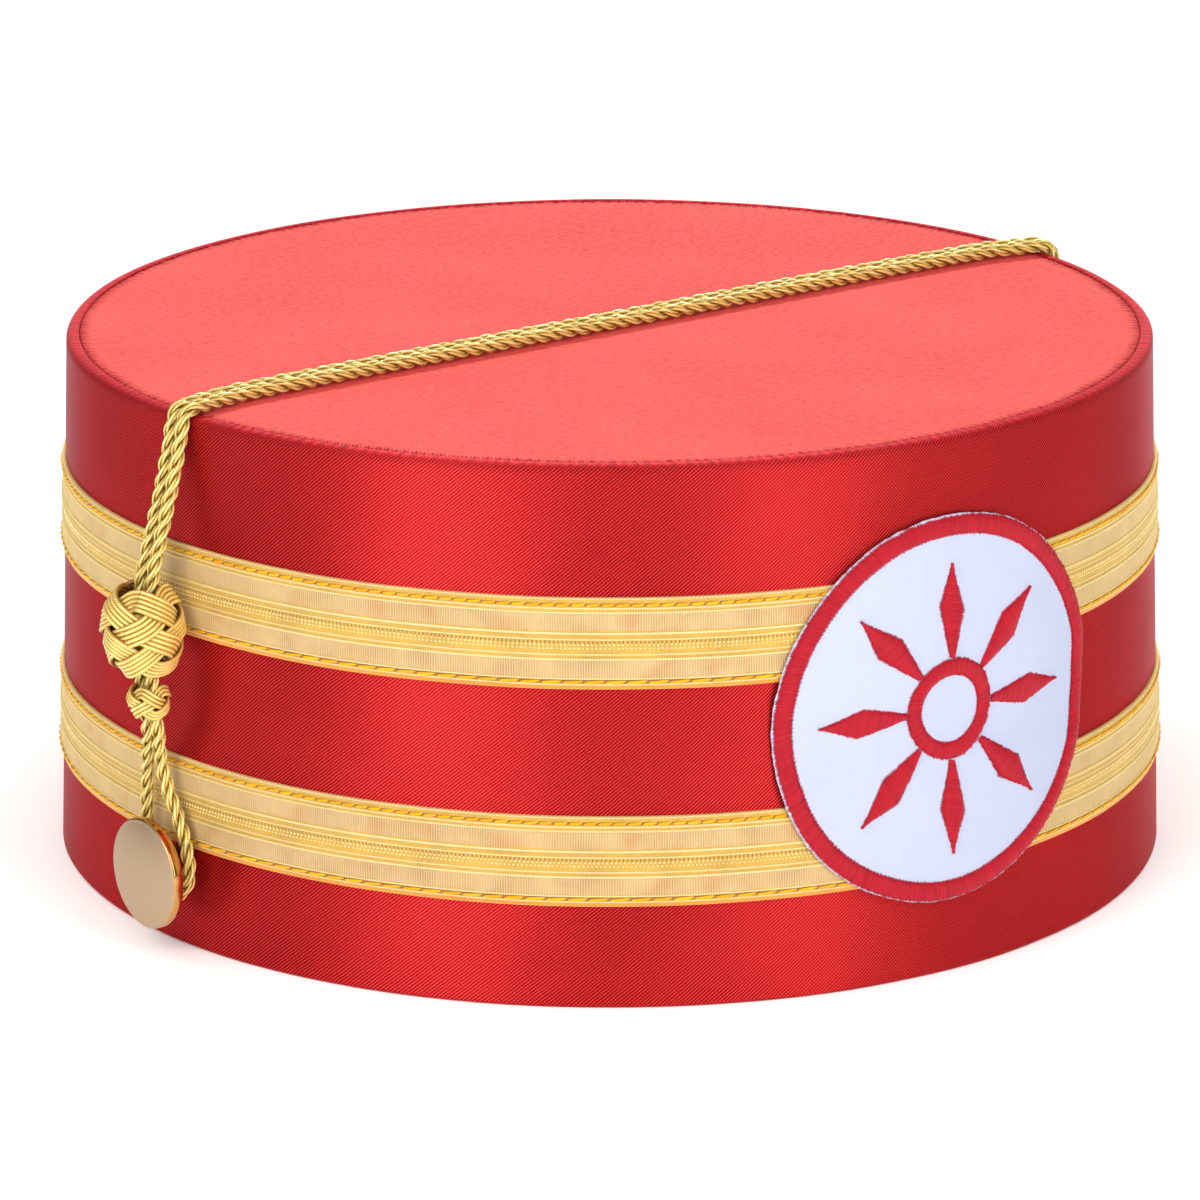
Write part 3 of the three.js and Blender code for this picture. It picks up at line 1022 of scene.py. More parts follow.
def settle(obj: bpy.types.Object, slot: str, *nodes: str) -> None:
    """Attach a finished piece to the body and hide the CAD nodes that it stands for.

    Args:
        obj: The piece.
        slot: The record's material slot; not used.
        nodes: CAD nodes that it stands for.
    """
    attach(obj, BODY)
    if nodes:
        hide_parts(*nodes)
    log.info("%s: %d faces", obj.name, len(obj.data.polygons))


@dataclass(frozen=True)
class StitchForm:
    """Thread, width, height, arch and unevenness of one kind of stitch."""

    thread: Thread
    width: float
    height: float
    arch: float
    jitter: float
    parts: int = 6
    seed: int = SEED

    def lay(self, name: str, stitches: Sequence[Array], tree: StitchTree) -> bpy.types.Object:
        """Lay stitches as one piece.

        Args:
            name: Name of the piece.
            stitches: Middles, directions, directions away from the cloth, and lengths of the stitches.
            tree: The tree that draws them.

        Returns:
            The piece.
        """
        piece = shape(name, stitches[0])
        for label, values in zip(("aim", "facing", "span"), stitches[1:]):
            mark(piece, label, values)
        tree.apply(piece, {
            "Width": self.width, "Height": self.height, "Arch": self.arch, "Jitter": self.jitter,
            "Parts": self.parts, "Seed": self.seed, "Material": self.thread.material(),
        })
        return piece


@dataclass(frozen=True)
class Drum:
    """The round, slightly flared and slightly uneven wall that everything is placed on."""

    hem_radius: float
    height: float
    taper: float = 2.7 * MM
    unevenness: float = 0.05 * MM
    waves: int = 9
    folds: tuple[int, int] = (5, 26)
    lean: float = 60.0

    def flare(self, height: Array) -> Array:
        """Give the even radius at a height."""
        return self.hem_radius - self.taper * height / self.height

    def unevenly(self, turn: Array, height: Array) -> Array:
        """Give how far the cloth strays from the even radius at a place."""
        random = np.random.default_rng(SEED)
        total = np.zeros(np.broadcast(turn, height).shape)
        for _ in range(self.waves):
            folds = int(random.integers(*self.folds))
            lean, phase = random.uniform(-self.lean, self.lean), random.uniform(0, TAU)
            total = total + np.sin(folds * turn + lean * height + phase)
        return total * self.unevenness / math.sqrt(self.waves)

    def outward(self, turn: Array) -> Array:
        """Give the direction out of the drum; a turn of 0 is the front and grows to the right."""
        turn = np.asarray(turn, float)
        return np.stack([np.sin(turn), -np.cos(turn), np.zeros_like(turn)], -1)

    def rightward(self, turn: Array) -> Array:
        """Give the direction along the wall to the right, seen from outside."""
        turn = np.asarray(turn, float)
        return np.stack([np.cos(turn), np.sin(turn), np.zeros_like(turn)], -1)

    def beside(self, turn: float, height: float, standoff: float = 0.0) -> Array:
        """Give the point at a turn, a height and a distance out of the even wall."""
        return self.outward(turn) * (self.flare(height) + standoff) + UP * height

    def on_wall(self, turn: Array, height: Array, standoff: Array) -> Array:
        """Give points at turns, heights and distances out of the uneven wall."""
        reach = self.flare(height) + self.unevenly(turn, height) + standoff
        return self.outward(turn) * reach[..., None] + UP * np.broadcast_to(height, reach.shape)[..., None]


class Side(Enum):
    """The two sides that carry knots and a button, by their turn in degrees."""

    LEFT = -85.0
    RIGHT = 86.5

    @property
    def turn(self) -> float:
        """Give the turn in radians."""
        return math.radians(self.value)

    @property
    def label(self) -> str:
        """Give the side's name in lower case."""
        return self.name.lower()

    def forward(self, drum: Drum) -> Array:
        """Give the direction along the wall towards the front."""
        return -drum.rightward(self.turn) * math.copysign(1.0, self.value)


@dataclass
class CrownWall:
    """The satin drum with its rolled rim and its hem."""

    drum: Drum
    finish: SatinTwill = SatinTwill()
    thickness: float = 2.8 * MM
    hem: float = 0.8 * MM
    rim_width: float = 2.1 * MM
    lip: float = 0.15 * MM
    seam_depth: float = 1.2 * MM
    lining_shares: tuple[float, ...] = (0.8, 0.6, 0.4, 0.2)
    places: int = 720
    rows: int = 46

    def profile(self) -> Array:
        """List radius and height round the wall's section, from the outer hem up."""
        drum, top = self.drum, self.drum.height
        shoulder = top - SHOULDER
        inner = drum.flare(top) - self.thickness
        seam = drum.flare(top) - self.rim_width
        hem_inner = drum.flare(self.hem) - self.thickness
        climb = np.linspace(self.hem, shoulder, self.rows)
        lining = [(drum.flare(top * share) - self.thickness, top * share) for share in self.lining_shares]
        return np.array([
            *arc((drum.flare(self.hem) - self.hem, self.hem), self.hem, start=-90, end=-15, parts=5),
            *zip(drum.flare(climb), climb),
            *arc((drum.flare(shoulder) - SHOULDER, shoulder), SHOULDER, start=8, end=84, parts=9),
            (seam + self.lip, top),
            (seam, top - self.lip),
            (seam, top - self.seam_depth),
            (inner, top - self.seam_depth - self.lip),
            (inner, top - 2 * self.seam_depth),
            *lining,
            *arc((hem_inner + self.hem, self.hem), self.hem, start=180, end=260, parts=4),
        ])

    def build(self) -> None:
        """Make the wall's mesh and dress it."""
        profile = self.profile()
        turns = np.linspace(-math.pi, math.pi, self.places + 1)
        spokes = self.drum.outward(turns[:-1])
        wave = self.drum.unevenly(turns[:-1], profile[:, 1:])
        rings = lathe(np.zeros(3), UP, spokes, profile) + spokes[None] * wave[..., None]
        steps = np.linalg.norm(np.diff(np.vstack([profile, profile[:1]]), axis=0), axis=1)
        across = np.concatenate([[0.0], np.cumsum(steps)])
        wall = surface("crown_wall_satin", rings, turns * self.drum.hem_radius, across, True)
        wall.data.materials.append(self.finish.material())
        settle(wall, "wall_satin", "crown_wall")


@dataclass
class TopPanel:
    """The flat satin panel inside the rim, drawn in along its seam."""

    drum: Drum
    finish: PanelSatin = PanelSatin()
    drop: float = 0.12 * MM
    roll: float = 0.45 * MM
    thickness: float = 2.4 * MM
    neck: float = 89.8 * MM
    edge_thickness: float = 0.9 * MM
    middle: float = 4.0 * MM
    ripple: float = 0.02 * MM
    ripple_reach: float = 2.2 * MM
    ripple_waves: tuple[int, int] = (60, 240)
    ripples: int = 12
    places: int = 720
    rows: int = 20

    def build(self) -> None:
        """Make the panel's mesh and dress it."""
        top = self.drum.height - self.drop
        brink = PANEL_RADIUS - self.roll
        flat = brink - (brink - self.middle) * np.linspace(0, 1, self.rows)[1:] ** 2
        profile = np.array([
            (self.middle, top - self.thickness),
            (self.neck, top - self.thickness),
            (self.neck, top - self.edge_thickness),
            (PANEL_RADIUS, top - self.edge_thickness),
            *arc((brink, top - self.roll), self.roll, start=0, end=90, parts=8),
            *[(radius, top) for radius in flat],
        ])
        turns = np.linspace(-math.pi, math.pi, self.places + 1)[:-1]
        rings = lathe(np.zeros(3), UP, self.drum.outward(turns), profile)
        random = np.random.default_rng(PANEL_SEED)
        lift = np.zeros(self.places)
        for _ in range(self.ripples):
            lift = lift + np.sin(int(random.integers(*self.ripple_waves)) * turns + random.uniform(0, TAU))
        near = np.exp(-((PANEL_RADIUS - profile[:, :1]) / self.ripple_reach) ** 2)
        rings[..., 2] += lift * self.ripple * near
        panel = surface("top_panel_satin", rings, np.zeros(self.places + 1), profile[:, 0], False)
        remap(panel, places_of(panel)[:, :2])
        panel.data.materials.append(self.finish.material())
        settle(panel, "top_satin", "top_panel")


@dataclass(frozen=True)
class StitchRow:
    """A row of stitches: its place down a band, its pitch, and the lean and share of its stitches."""

    down: float
    pitch: float
    lean: float
    share: float


@dataclass
class LaceBand:
    """One gold lace band, with its cord lines in relief, its sewing and its knurled middle."""

    drum: Drum
    label: str
    bottom: float
    finish: LaceGold = LaceGold()
    base: float = 0.5 * MM
    sunk: float = 0.1 * MM
    rise: float = 0.25 * MM
    cord_rise: float = 0.7
    cords: tuple[tuple[float, float], ...] = (
        (0.18, 0.32), (1.72, 0.25), (2.44, 0.28), (5.85, 0.42), (6.85, 0.26), (9.3, 0.26), (10.1, 0.36),
        (13.3, 0.3), (14.25, 0.25),
    )
    cord_rows: int = 7
    rows: int = 31
    places: int = 480
    round_to: int = 5
    stitch_sunk: float = 0.05 * MM
    seam: StitchForm = StitchForm(
        Thread("gold_lace_thread", srgb(247, 186, 12), srgb(228, 154, 5), roughness=0.45),
        width=0.52 * MM, height=0.42 * MM, arch=0.5, jitter=0.2,
    )
    seam_rows: tuple[StitchRow, ...] = (
        StitchRow(1.15 * MM, 2.38 * MM, math.radians(6), 0.97),
        StitchRow(13.82 * MM, 3.4 * MM, math.radians(4), 0.98),
    )
    knurl: StitchForm = StitchForm(
        Thread("gold_lace_knurl", srgb(255, 246, 206), srgb(240, 208, 130), metallic=0.2),
        width=0.32 * MM, height=0.3 * MM, arch=0.35, jitter=0.25, parts=3,
    )
    knurl_rows: tuple[StitchRow, ...] = (
        StitchRow(7.72 * MM, 0.7 * MM, math.radians(40), 0.5),
        StitchRow(8.3 * MM, 0.7 * MM, math.radians(90), 0.42),
    )

    def bends(self) -> Array:
        """List the lengths down from the top edge where the section bends."""
        bend = np.sin(np.linspace(-math.pi / 2, math.pi / 2, self.cord_rows)) / 2
        cords = [(middle + bend * width) * MM for middle, width in self.cords]
        even = np.linspace(0, LACE_WIDTH, self.rows)
        edges = [self.rise, LACE_WIDTH - self.rise]
        return np.unique(np.round(np.concatenate([even, edges, *cords]), self.round_to))

    def cord_lines(self, down: Array) -> tuple[Array, Array]:
        """Give the share and the height of the cord lines at lengths down from the top edge."""
        share, height = np.zeros_like(down), np.zeros_like(down)
        for middle, width in self.cords:
            bulge = np.sqrt(np.clip(1 - ((down - middle * MM) / (width * MM / 2)) ** 2, 0, 1))
            share += bulge
            height += bulge * self.cord_rise * width * MM / 2
        return share, height

    def build(self) -> None:
        """Make the band's mesh and dress it."""
        down = self.bends()[::-1]
        edge = np.minimum(down, LACE_WIDTH - down)
        face = self.base * np.clip(0.5 + edge / (2 * self.rise), 0, 1) + self.cord_lines(down)[1]
        standoff = np.concatenate([[-self.sunk], face, [-self.sunk]])
        down = np.concatenate([[LACE_WIDTH], down, [0.0]])
        turns = np.linspace(-math.pi, math.pi, self.places + 1)
        height = self.bottom + LACE_WIDTH - down
        rings = self.drum.on_wall(turns[None, :-1], height[:, None], standoff[:, None])
        across = np.concatenate([down, down[:1]])
        band = surface(f"{self.label}_lace", rings, turns * self.drum.hem_radius, across, True)
        # The cord lines' share, which the lace paints as a highlight along each line's crest.
        mark(band, "line", np.repeat(self.cord_lines(down)[0], self.places))
        band.data.materials.append(self.finish.material())
        settle(band, "gold_lace", self.label)

    def stitches(self, row: StitchRow) -> tuple[Array, Array, Array, Array]:
        """Place a row of stitches round the band.

        Args:
            row: The row.

        Returns:
            Middles, directions, directions away from the cloth, and lengths of the stitches.
        """
        height = self.bottom + LACE_WIDTH - row.down
        around = TAU * self.drum.flare(height)
        count = round(around / row.pitch)
        turns = np.arange(count) * TAU / count - math.pi
        middles = self.drum.on_wall(turns, height, self.base - self.stitch_sunk)
        aims = self.drum.rightward(turns) * math.cos(row.lean) + UP * math.sin(row.lean)
        return middles, aims, self.drum.outward(turns), np.full(count, around / count * row.share)

    def sew(self, tree: StitchTree) -> None:
        """Lay the machine stitches along both edges and the knurled rows in the middle."""
        kinds = (("stitches", self.seam, self.seam_rows), ("knurl", self.knurl, self.knurl_rows))
        for kind, form, rows in kinds:
            parts = zip(*(self.stitches(row) for row in rows))
            piece = form.lay(f"{self.label}_{kind}", [np.concatenate(part) for part in parts], tree)
            settle(piece, "gold_lace")


@dataclass
class Patch:
    """The round white patch with a red satin stitch border and a generic rosette."""

    drum: Drum
    bands: Sequence[float]
    ground: WhiteTwill = WhiteTwill()
    stitch: StitchForm = StitchForm(
        Thread("patch_red_thread", srgb(190, 12, 37), srgb(160, 5, 28), sheen=0.02),
        width=0.4 * MM, height=0.5 * MM, arch=0.7, jitter=0.15, seed=THREAD_SEED,
    )
    turn: float = math.radians(-1.55)
    height: float = 45.1 * MM
    radius: float = 32.35 * MM
    base: float = 0.5 * MM
    thickness: float = 0.22 * MM
    bevel: float = 0.15 * MM
    bevel_drop: float = 0.08 * MM
    middle: float = 2.0 * MM
    lace_lift: float = 0.65 * MM
    margin: float = 0.6 * MM
    ease: float = 8.0 * MM
    uneven: float = 0.16 * MM
    uneven_waves: tuple[tuple[float, int, float], ...] = ((1.0, 2, 0.6), (1.0, 3, 2.0), (0.6, 7, 0.0))
    rough: float = 0.05 * MM
    rough_reach: int = 8
    stray_reach: int = 4
    places: int = 240
    rows: int = 26
    back_rows: int = 4
    border_outer: float = 32.25 * MM
    border_inner: float = 28.85 * MM
    ring_inner: float = 5.6 * MM
    ring_outer: float = 8.6 * MM
    ring_lean: float = 0.7 * MM
    pitch: float = 0.25 * MM
    tooth: float = 0.12 * MM
    tooth_stitches: int = 3
    stray_start: float = 0.04 * MM
    stray_end: float = 0.08 * MM
    seed_scale: float = 1e5
    petals: int = 8
    petal_start: float = 8.8 * MM
    petal_shoulder: float = 17.0 * MM
    petal_tip: float = 24.4 * MM
    petal_half: float = math.radians(9)
    petal_slim: float = 0.45
    petal_least: float = 0.25 * MM
    petal_stray: float = 0.06 * MM
    petal_lean: float = 0.25
    petal_seed_scale: float = 100

    def wrap(self, flat: Array, standoff: Array | float) -> Array:
        """Bend flat places of the patch round the drum."""
        turn = self.turn + flat[..., 0] / self.drum.flare(self.height)
        height = self.height + flat[..., 1]
        reach = self.drum.flare(height) + standoff + self.lift(height)
        return self.drum.outward(turn) * reach[..., None] + UP * height[..., None]

    def lift(self, height: Array) -> Array:
        """Give how far the lace underneath lifts the patch at a height."""
        share = np.zeros_like(height)
        for bottom in self.bands:
            away = np.abs(height - bottom - LACE_WIDTH / 2) - LACE_WIDTH / 2 - self.margin
            share = np.maximum(share, np.clip(1 - away / self.ease, 0, 1))
        return self.lace_lift * share ** 2 * (3 - 2 * share)

    def sway(self, angle: Array) -> Array:
        """Give how far the hand-cut outline strays from the circle at an angle."""
        parts = (size * np.sin(waves * angle + phase) for size, waves, phase in self.uneven_waves)
        return self.uneven * sum(parts)

    def build(self) -> None:
        """Make the ground's mesh and dress it."""
        random = np.random.default_rng(PATCH_SEED)
        angles = np.linspace(0, TAU, self.places + 1)[:-1]
        rough = random.normal(0, self.rough, self.places) + self.sway(angles)
        front = self.base + self.thickness
        radii = np.concatenate([
            np.linspace(self.middle, self.radius, self.back_rows),
            [self.radius],
            np.linspace(self.radius - self.bevel, self.middle, self.rows),
        ])
        standoff = np.concatenate([
            np.full(self.back_rows, self.base), [front - self.bevel_drop], np.full(self.rows, front),
        ])
        reach = radii[:, None] + rough * (radii[:, None] / self.radius) ** self.rough_reach
        rings = self.wrap(polar(reach, angles), standoff[:, None])
        ground = surface("patch_twill", rings, np.zeros(self.places + 1), radii, False)
        points = places_of(ground)
        around = np.arctan2(points[:, 0], -points[:, 1]) * self.drum.flare(self.height)
        remap(ground, np.stack([around, points[:, 2]], -1))
        ground.data.materials.append(self.ground.material())
        settle(ground, "white_twill", "patch_ground")

    def ring_stitches(self, inner: float, outer: float) -> tuple[Array, Array]:
        """List the ends of stitches laid across a ring.

        Args:
            inner: Inner radius.
            outer: Outer radius.

        Returns:
            Start and end of each stitch, flat on the patch.
        """
        random = np.random.default_rng(SEED + int(outer * self.seed_scale))
        count = round(TAU * (inner + outer) / 2 / self.pitch)
        angles = np.arange(count) * TAU / count
        stray = self.sway(angles) * (outer / self.radius) ** self.stray_reach
        tooth = self.tooth * (np.arange(count) % self.tooth_stitches == 0)
        start = inner + stray - tooth + random.normal(0, self.stray_start, count)
        end = outer + stray + random.normal(0, self.stray_end, count)
        return polar(start, angles), polar(end, angles + self.ring_lean / outer)

    def petal_stitches(self, angle: float) -> tuple[Array, Array]:
        """List the ends of stitches laid across one petal.

        Args:
            angle: Angle of the petal.

        Returns:
            Start and end of each stitch, flat on the patch.
        """
        random = np.random.default_rng(SEED + int(angle * self.petal_seed_scale))
        along = np.arange(self.petal_start, self.petal_tip, self.pitch)
        widest = self.petal_shoulder * math.tan(self.petal_half)
        slim = self.petal_start * math.tan(self.petal_half) * self.petal_slim
        grow = slim + (widest - slim) * (along - self.petal_start) / (self.petal_shoulder - self.petal_start)
        close = widest * (self.petal_tip - along) / (self.petal_tip - self.petal_shoulder)
        half = np.maximum(np.minimum(grow, close), self.petal_least)
        half = (half + random.normal(0, self.petal_stray, len(along)))[:, None]
        axis = np.array([math.cos(angle), math.sin(angle)])
        side = np.array([-axis[1], axis[0]])
        spine, reach = along[:, None] * axis, half * (side + self.petal_lean * axis)
        return spine - reach, spine + reach

    def sew(self, tree: StitchTree) -> None:
        """Lay the border's and the rosette's stitches."""
        self.lay("patch_border", [self.ring_stitches(self.border_inner, self.border_outer)], tree)
        petals = [self.petal_stitches(TAU * index / self.petals) for index in range(self.petals)]
        self.lay("patch_rosette", [self.ring_stitches(self.ring_inner, self.ring_outer), *petals], tree)

    def lay(self, node: str, fields: Sequence[tuple[Array, Array]], tree: StitchTree) -> None:
        """Lay stitches on the patch.

        Args:
            node: CAD node that the piece stands for.
            fields: Start and end of each stitch, field by field.
            tree: The tree that draws them.
        """
        starts, ends = (np.concatenate(part) for part in zip(*fields))
        level = self.base + self.thickness
        low, middle, high = (self.wrap(flat, level) for flat in (starts, (starts + ends) / 2, ends))
        facing = self.drum.outward(np.arctan2(middle[:, 0], -middle[:, 1]))
        span = np.linalg.norm(high - low, axis=1)
        piece = self.stitch.lay(f"{node}_stitches", (middle, unit(high - low), facing, span), tree)
        settle(piece, "red_thread", node)


@dataclass
class Cord:
    """The twisted gold cord, one closed loop laid double over the top and looped round both buttons."""

    drum: Drum
    finish: GimpGold
    diameter: float = 2.5 * MM
    lay: float = 8.5 * MM
    spin: float = 5.3 * MM
    plies: int = 3
    threads: int = 3
    thread_radius: float = 0.28 * MM
    thread_sides: int = 6
    thread_step: float = 0.42 * MM
    bundle: float = 0.3 * MM
    spread: float = 1.3 * MM
    gap: float = 0.1 * MM
    route_step: float = 0.5 * MM
    rim_parts: int = 5
    loop_radius: float = 5.5 * MM
    loop_height: float = 14.6 * MM
    loop_standoff: float = 2.9 * MM
    loop_parts: int = 10
    top_run: tuple[tuple[float, float], ...] = ((-78, 5.4), (0, 3.9), (78, 3.3))
    side_run: tuple[tuple[float, float, float, float], ...] = (
        (83, 2.6, 1.3, -1.3), (75, 4.6, 1.3, -1.3), (67, 6.9, 1.3, -1.3), (62, 8, 1.3, -1.3),
        (55.6, 8.4, 1.3, -1.3), (49, 7.7, 1.3, -1.3), (43.2, 7.1, 1.3, -1.3), (38, 5.9, 0.9, -1.7),
        (33, 4.4, -0.3, -3.6), (28, 3.4, 0.2, -5.0), (23, 3, 2.6, -5.5), (19, 2.9, 4.5, -5.6),
    )

    def side_points(self, side: Side, sign: int) -> list[Array]:
        """List one strand's points over the rim and down a side, by the runs' millimetres."""
        outward, forward = self.drum.outward(side.turn), side.forward(self.drum)
        bend = SHOULDER + self.gap + self.diameter / 2
        centre = self.drum.beside(side.turn, self.drum.height - SHOULDER, -SHOULDER)
        points = []
        for angle in np.linspace(0, math.pi / 2, self.rim_parts + 1)[:-1]:
            facing = outward * math.sin(angle) + UP * math.cos(angle)
            points.append(centre + facing * bend + forward * sign * self.spread)
        for height, standoff, front, back in self.side_run:
            ahead = front if sign > 0 else back
            points.append(self.drum.beside(side.turn, height * MM, standoff * MM) + forward * ahead * MM)
        return points

    def loop_points(self, side: Side) -> list[Array]:
        """List the points of the half circle under a button, from the front strand to the back one."""
        centre = self.drum.beside(side.turn, self.loop_height, self.loop_standoff)
        flat = polar(self.loop_radius, np.linspace(0, math.pi, self.loop_parts + 1))
        return [centre + side.forward(self.drum) * ahead - UP * down for ahead, down in flat]

    def strand(self, sign: int) -> list[Array]:
        """List a strand's points from the left side to the right one."""
        level = self.drum.height + self.gap + self.diameter / 2
        top = [np.array([x * MM, -ahead * MM - sign * self.spread, level]) for x, ahead in self.top_run]
        return [*self.side_points(Side.LEFT, sign)[::-1], *top, *self.side_points(Side.RIGHT, sign)]

    def build(self, tree: StrandTree) -> None:
        """Make the cord's plies and dress them."""
        right, left = self.loop_points(Side.RIGHT), self.loop_points(Side.LEFT)
        points = [*self.strand(1), *right, *self.strand(-1)[::-1], *left[::-1]]
        route = spline(np.array(points), self.route_step)
        length = float(np.linalg.norm(route - np.roll(route, -1, axis=0), axis=1).sum())
        log.info("cord length %.1f mm", length / MM)
        cord = loops("cord_twist", [route], np.zeros_like(route))
        tree.apply(cord, {
            "Radius": self.thread_radius, "Bundle": self.bundle, "Plies": self.plies, "Threads": self.threads,
            "Offset": self.diameter / 2 - self.thread_radius - self.bundle,
            "Lay": length / round(length / self.lay), "Spin": length / round(length / self.spin),
            "Step": self.thread_step, "Sides": self.thread_sides, "Material": self.finish.material(),
        })
        settle(cord, "gold_cord", "cord")


@dataclass(frozen=True)
class KnotForm:
    """Place, sizes and weave of a knot."""

    height: float
    standoff: float
    radius: float
    end_radius: float
    reach: float
    weave: float
    leads: int
    threads: int
    thread_radius: float
    start: float


class Knot(Enum):
    """The two knots that the cord passes through on each side."""

    SLIDE = KnotForm(
        height=55.8 * MM, standoff=8.4 * MM, radius=6.1 * MM, end_radius=4.3 * MM, reach=5.9 * MM,
        weave=0.62 * MM, leads=5, threads=5, thread_radius=0.38 * MM, start=math.radians(45),
    )
    SMALL = KnotForm(
        height=43.4 * MM, standoff=7.1 * MM, radius=2.95 * MM, end_radius=2.5 * MM, reach=1.9 * MM,
        weave=0.4 * MM, leads=3, threads=3, thread_radius=0.33 * MM, start=0.5,
    )


@dataclass
class WovenKnot:
    """A knot of parallel gimp threads woven round the hanging cord."""

    drum: Drum
    side: Side
    kind: Knot
    finish: GimpGold
    bights: int = 4
    steps: int = 720
    even: float = 0.3
    straight: float = 0.11
    plump: float = 1.06
    thread_step: float = 0.35 * MM
    thread_sides: int = 8
    core_reach: float = 0.96
    core_inset: float = 1.2
    core_round: int = 6
    core_rows: int = 15
    core_places: int = 48
    core_shading: float = 0.35

    @property
    def label(self) -> str:
        """Give the name of the knot's CAD node."""
        return f"{self.kind.name.lower()}_knot_{self.side.label}"

    @property
    def centre(self) -> Array:
        """Give the middle of the knot."""
        return self.drum.beside(self.side.turn, self.kind.value.height, self.kind.value.standoff)

    def centre_line(self) -> tuple[Array, Array, Array]:
        """Give points, facings and side directions along the weave."""
        form = self.kind.value
        outward, forward = self.drum.outward(self.side.turn), self.side.forward(self.drum)
        turn = (np.arange(self.steps) / self.steps * TAU * form.leads)[:, None]
        phase = self.bights / form.leads * turn
        share = (np.cos(phase) + self.straight * np.cos(3 * phase)) / (1 + self.straight)
        taper = (form.radius - form.end_radius) * share
        over = np.sin((form.leads - 1) * phase) + self.even * np.sin((form.leads - 3) * phase)
        radius = form.radius - taper * share + form.weave * over
        around = outward * np.cos(turn + form.start) + forward * np.sin(turn + form.start)
        facing = unit(around + UP * 2 * taper / form.reach)
        points = self.centre + around * radius + UP * form.reach * share
        ahead = unit(np.roll(points, -1, axis=0) - np.roll(points, 1, axis=0))
        facing = unit(facing - ahead * (facing * ahead).sum(axis=1, keepdims=True))
        return points, facing, np.cross(ahead, facing)

    def build(self, tree: StrandTree) -> None:
        """Make the knot's threads and dress them."""
        form = self.kind.value
        points, facing, side = self.centre_line()
        shifts = (np.arange(form.threads) - (form.threads - 1) / 2) * 2 * form.thread_radius
        knot = loops(f"{self.label}_weave", [points + side * shift for shift in shifts], facing)
        tree.apply(knot, {
            "Radius": form.thread_radius * self.plump, "Offset": 0.0, "Plies": 1, "Threads": 1, "Bundle": 0.0,
            "Lay": 1.0, "Spin": 1.0, "Step": self.thread_step, "Sides": self.thread_sides,
            "Material": self.finish.material(),
        })
        settle(knot, "gold_cord", self.label)
        self.fill()

    def fill(self) -> None:
        """Fill the knot with a gold core, so that nothing shows through the weave."""
        form = self.kind.value
        outward, rightward = self.drum.outward(self.side.turn), self.drum.rightward(self.side.turn)
        share = np.linspace(-self.core_reach, self.core_reach, self.core_rows)
        inset = form.weave + self.core_inset * form.thread_radius
        radius = form.radius - (form.radius - form.end_radius) * share ** 2 - inset
        profile = np.stack([radius * np.sqrt(1 - share ** self.core_round), form.reach * share], -1)
        angles = np.linspace(0, TAU, self.core_places + 1)
        spokes = rightward * np.cos(angles[:-1, None]) - outward * np.sin(angles[:-1, None])
        rings = lathe(self.centre, UP, spokes, profile)
        core = surface(f"{self.label}_core", rings, angles * form.radius, profile[:, 1], False)
        # The core takes one fixed place on the gimp's painted shade-to-highlight ramp, a little darker than
        # the threads' body: painted shade inside the knot.
        mark(core, "crown", np.full(len(core.data.vertices), self.core_shading))
        core.data.materials.append(self.finish.material())
        settle(core, "gold_cord")


@dataclass
class Button:
    """A gold button with a brushed face and a polished rim."""

    drum: Drum
    side: Side
    finish: ButtonMetal = ButtonMetal()
    height: float = 13.6 * MM
    radius: float = 9.3 * MM
    back: float = 5.5 * MM
    back_round: float = 0.9 * MM
    rim: float = 2.2 * MM
    edge: float = 0.45 * MM
    edge_parts: int = 5
    face_parts: int = 3
    crown: float = 1.3 * MM
    middle: float = 0.6 * MM
    shank: float = 3.6 * MM
    shank_sunk: float = 1.0 * MM
    shank_flare: float = 0.4 * MM
    swing: float = math.radians(5)
    places: int = 120
    rows: int = 26

    def profile(self) -> Array:
        """List radius and height of the button's section, from the shank to the middle of the face."""
        brink = self.back + self.rim
        reach = self.radius - self.edge
        sphere = (reach ** 2 + self.crown ** 2) / (2 * self.crown)
        dome = [
            (r, brink + math.sqrt(sphere ** 2 - r ** 2) - (sphere - self.crown))
            for r in np.linspace(reach, self.middle, self.rows)
        ]
        hollow = (self.radius - self.back_round, self.back + self.back_round)
        return np.array([
            (self.shank, -self.shank_sunk),
            (self.shank, self.back - self.shank_flare),
            (self.shank + self.shank_flare, self.back),
            (self.radius - self.back_round, self.back),
            *arc(hollow, self.back_round, start=-80, end=0, parts=6),
            (self.radius, brink - self.edge),
            *arc((reach, brink - self.edge), self.edge, start=10, end=80, parts=self.edge_parts),
            *dome,
        ])

    def build(self) -> None:
        """Make the button's mesh and dress it."""
        profile = self.profile()
        turn = self.side.turn + math.copysign(self.swing, self.side.value)
        angles = np.linspace(0, TAU, self.places + 1)
        spokes = self.drum.rightward(turn) * np.cos(angles[:-1, None]) + UP * np.sin(angles[:-1, None])
        seat = self.drum.beside(self.side.turn, self.height)
        rings = lathe(seat, self.drum.outward(turn), spokes, profile)
        name = f"button_{self.side.label}"
        button = surface(f"{name}_metal", rings, angles * self.radius, profile[:, 0], False)
        face_start = len(profile) - self.rows - self.face_parts
        face = np.zeros(len(button.data.vertices))
        face[face_start * self.places:len(profile) * self.places] = 1.0
        face[-1] = 1.0
        mark(button, "face", face)
        button.data.materials.append(self.finish.material())
        settle(button, "button_gold", name)


@dataclass(frozen=True)
class SoftBox:
    """A soft light that looks at the cap: degrees to the camera's right, place and size in metres, watts."""

    name: str
    turn: float
    height: float
    away: float
    size: tuple[float, float]
    power: float


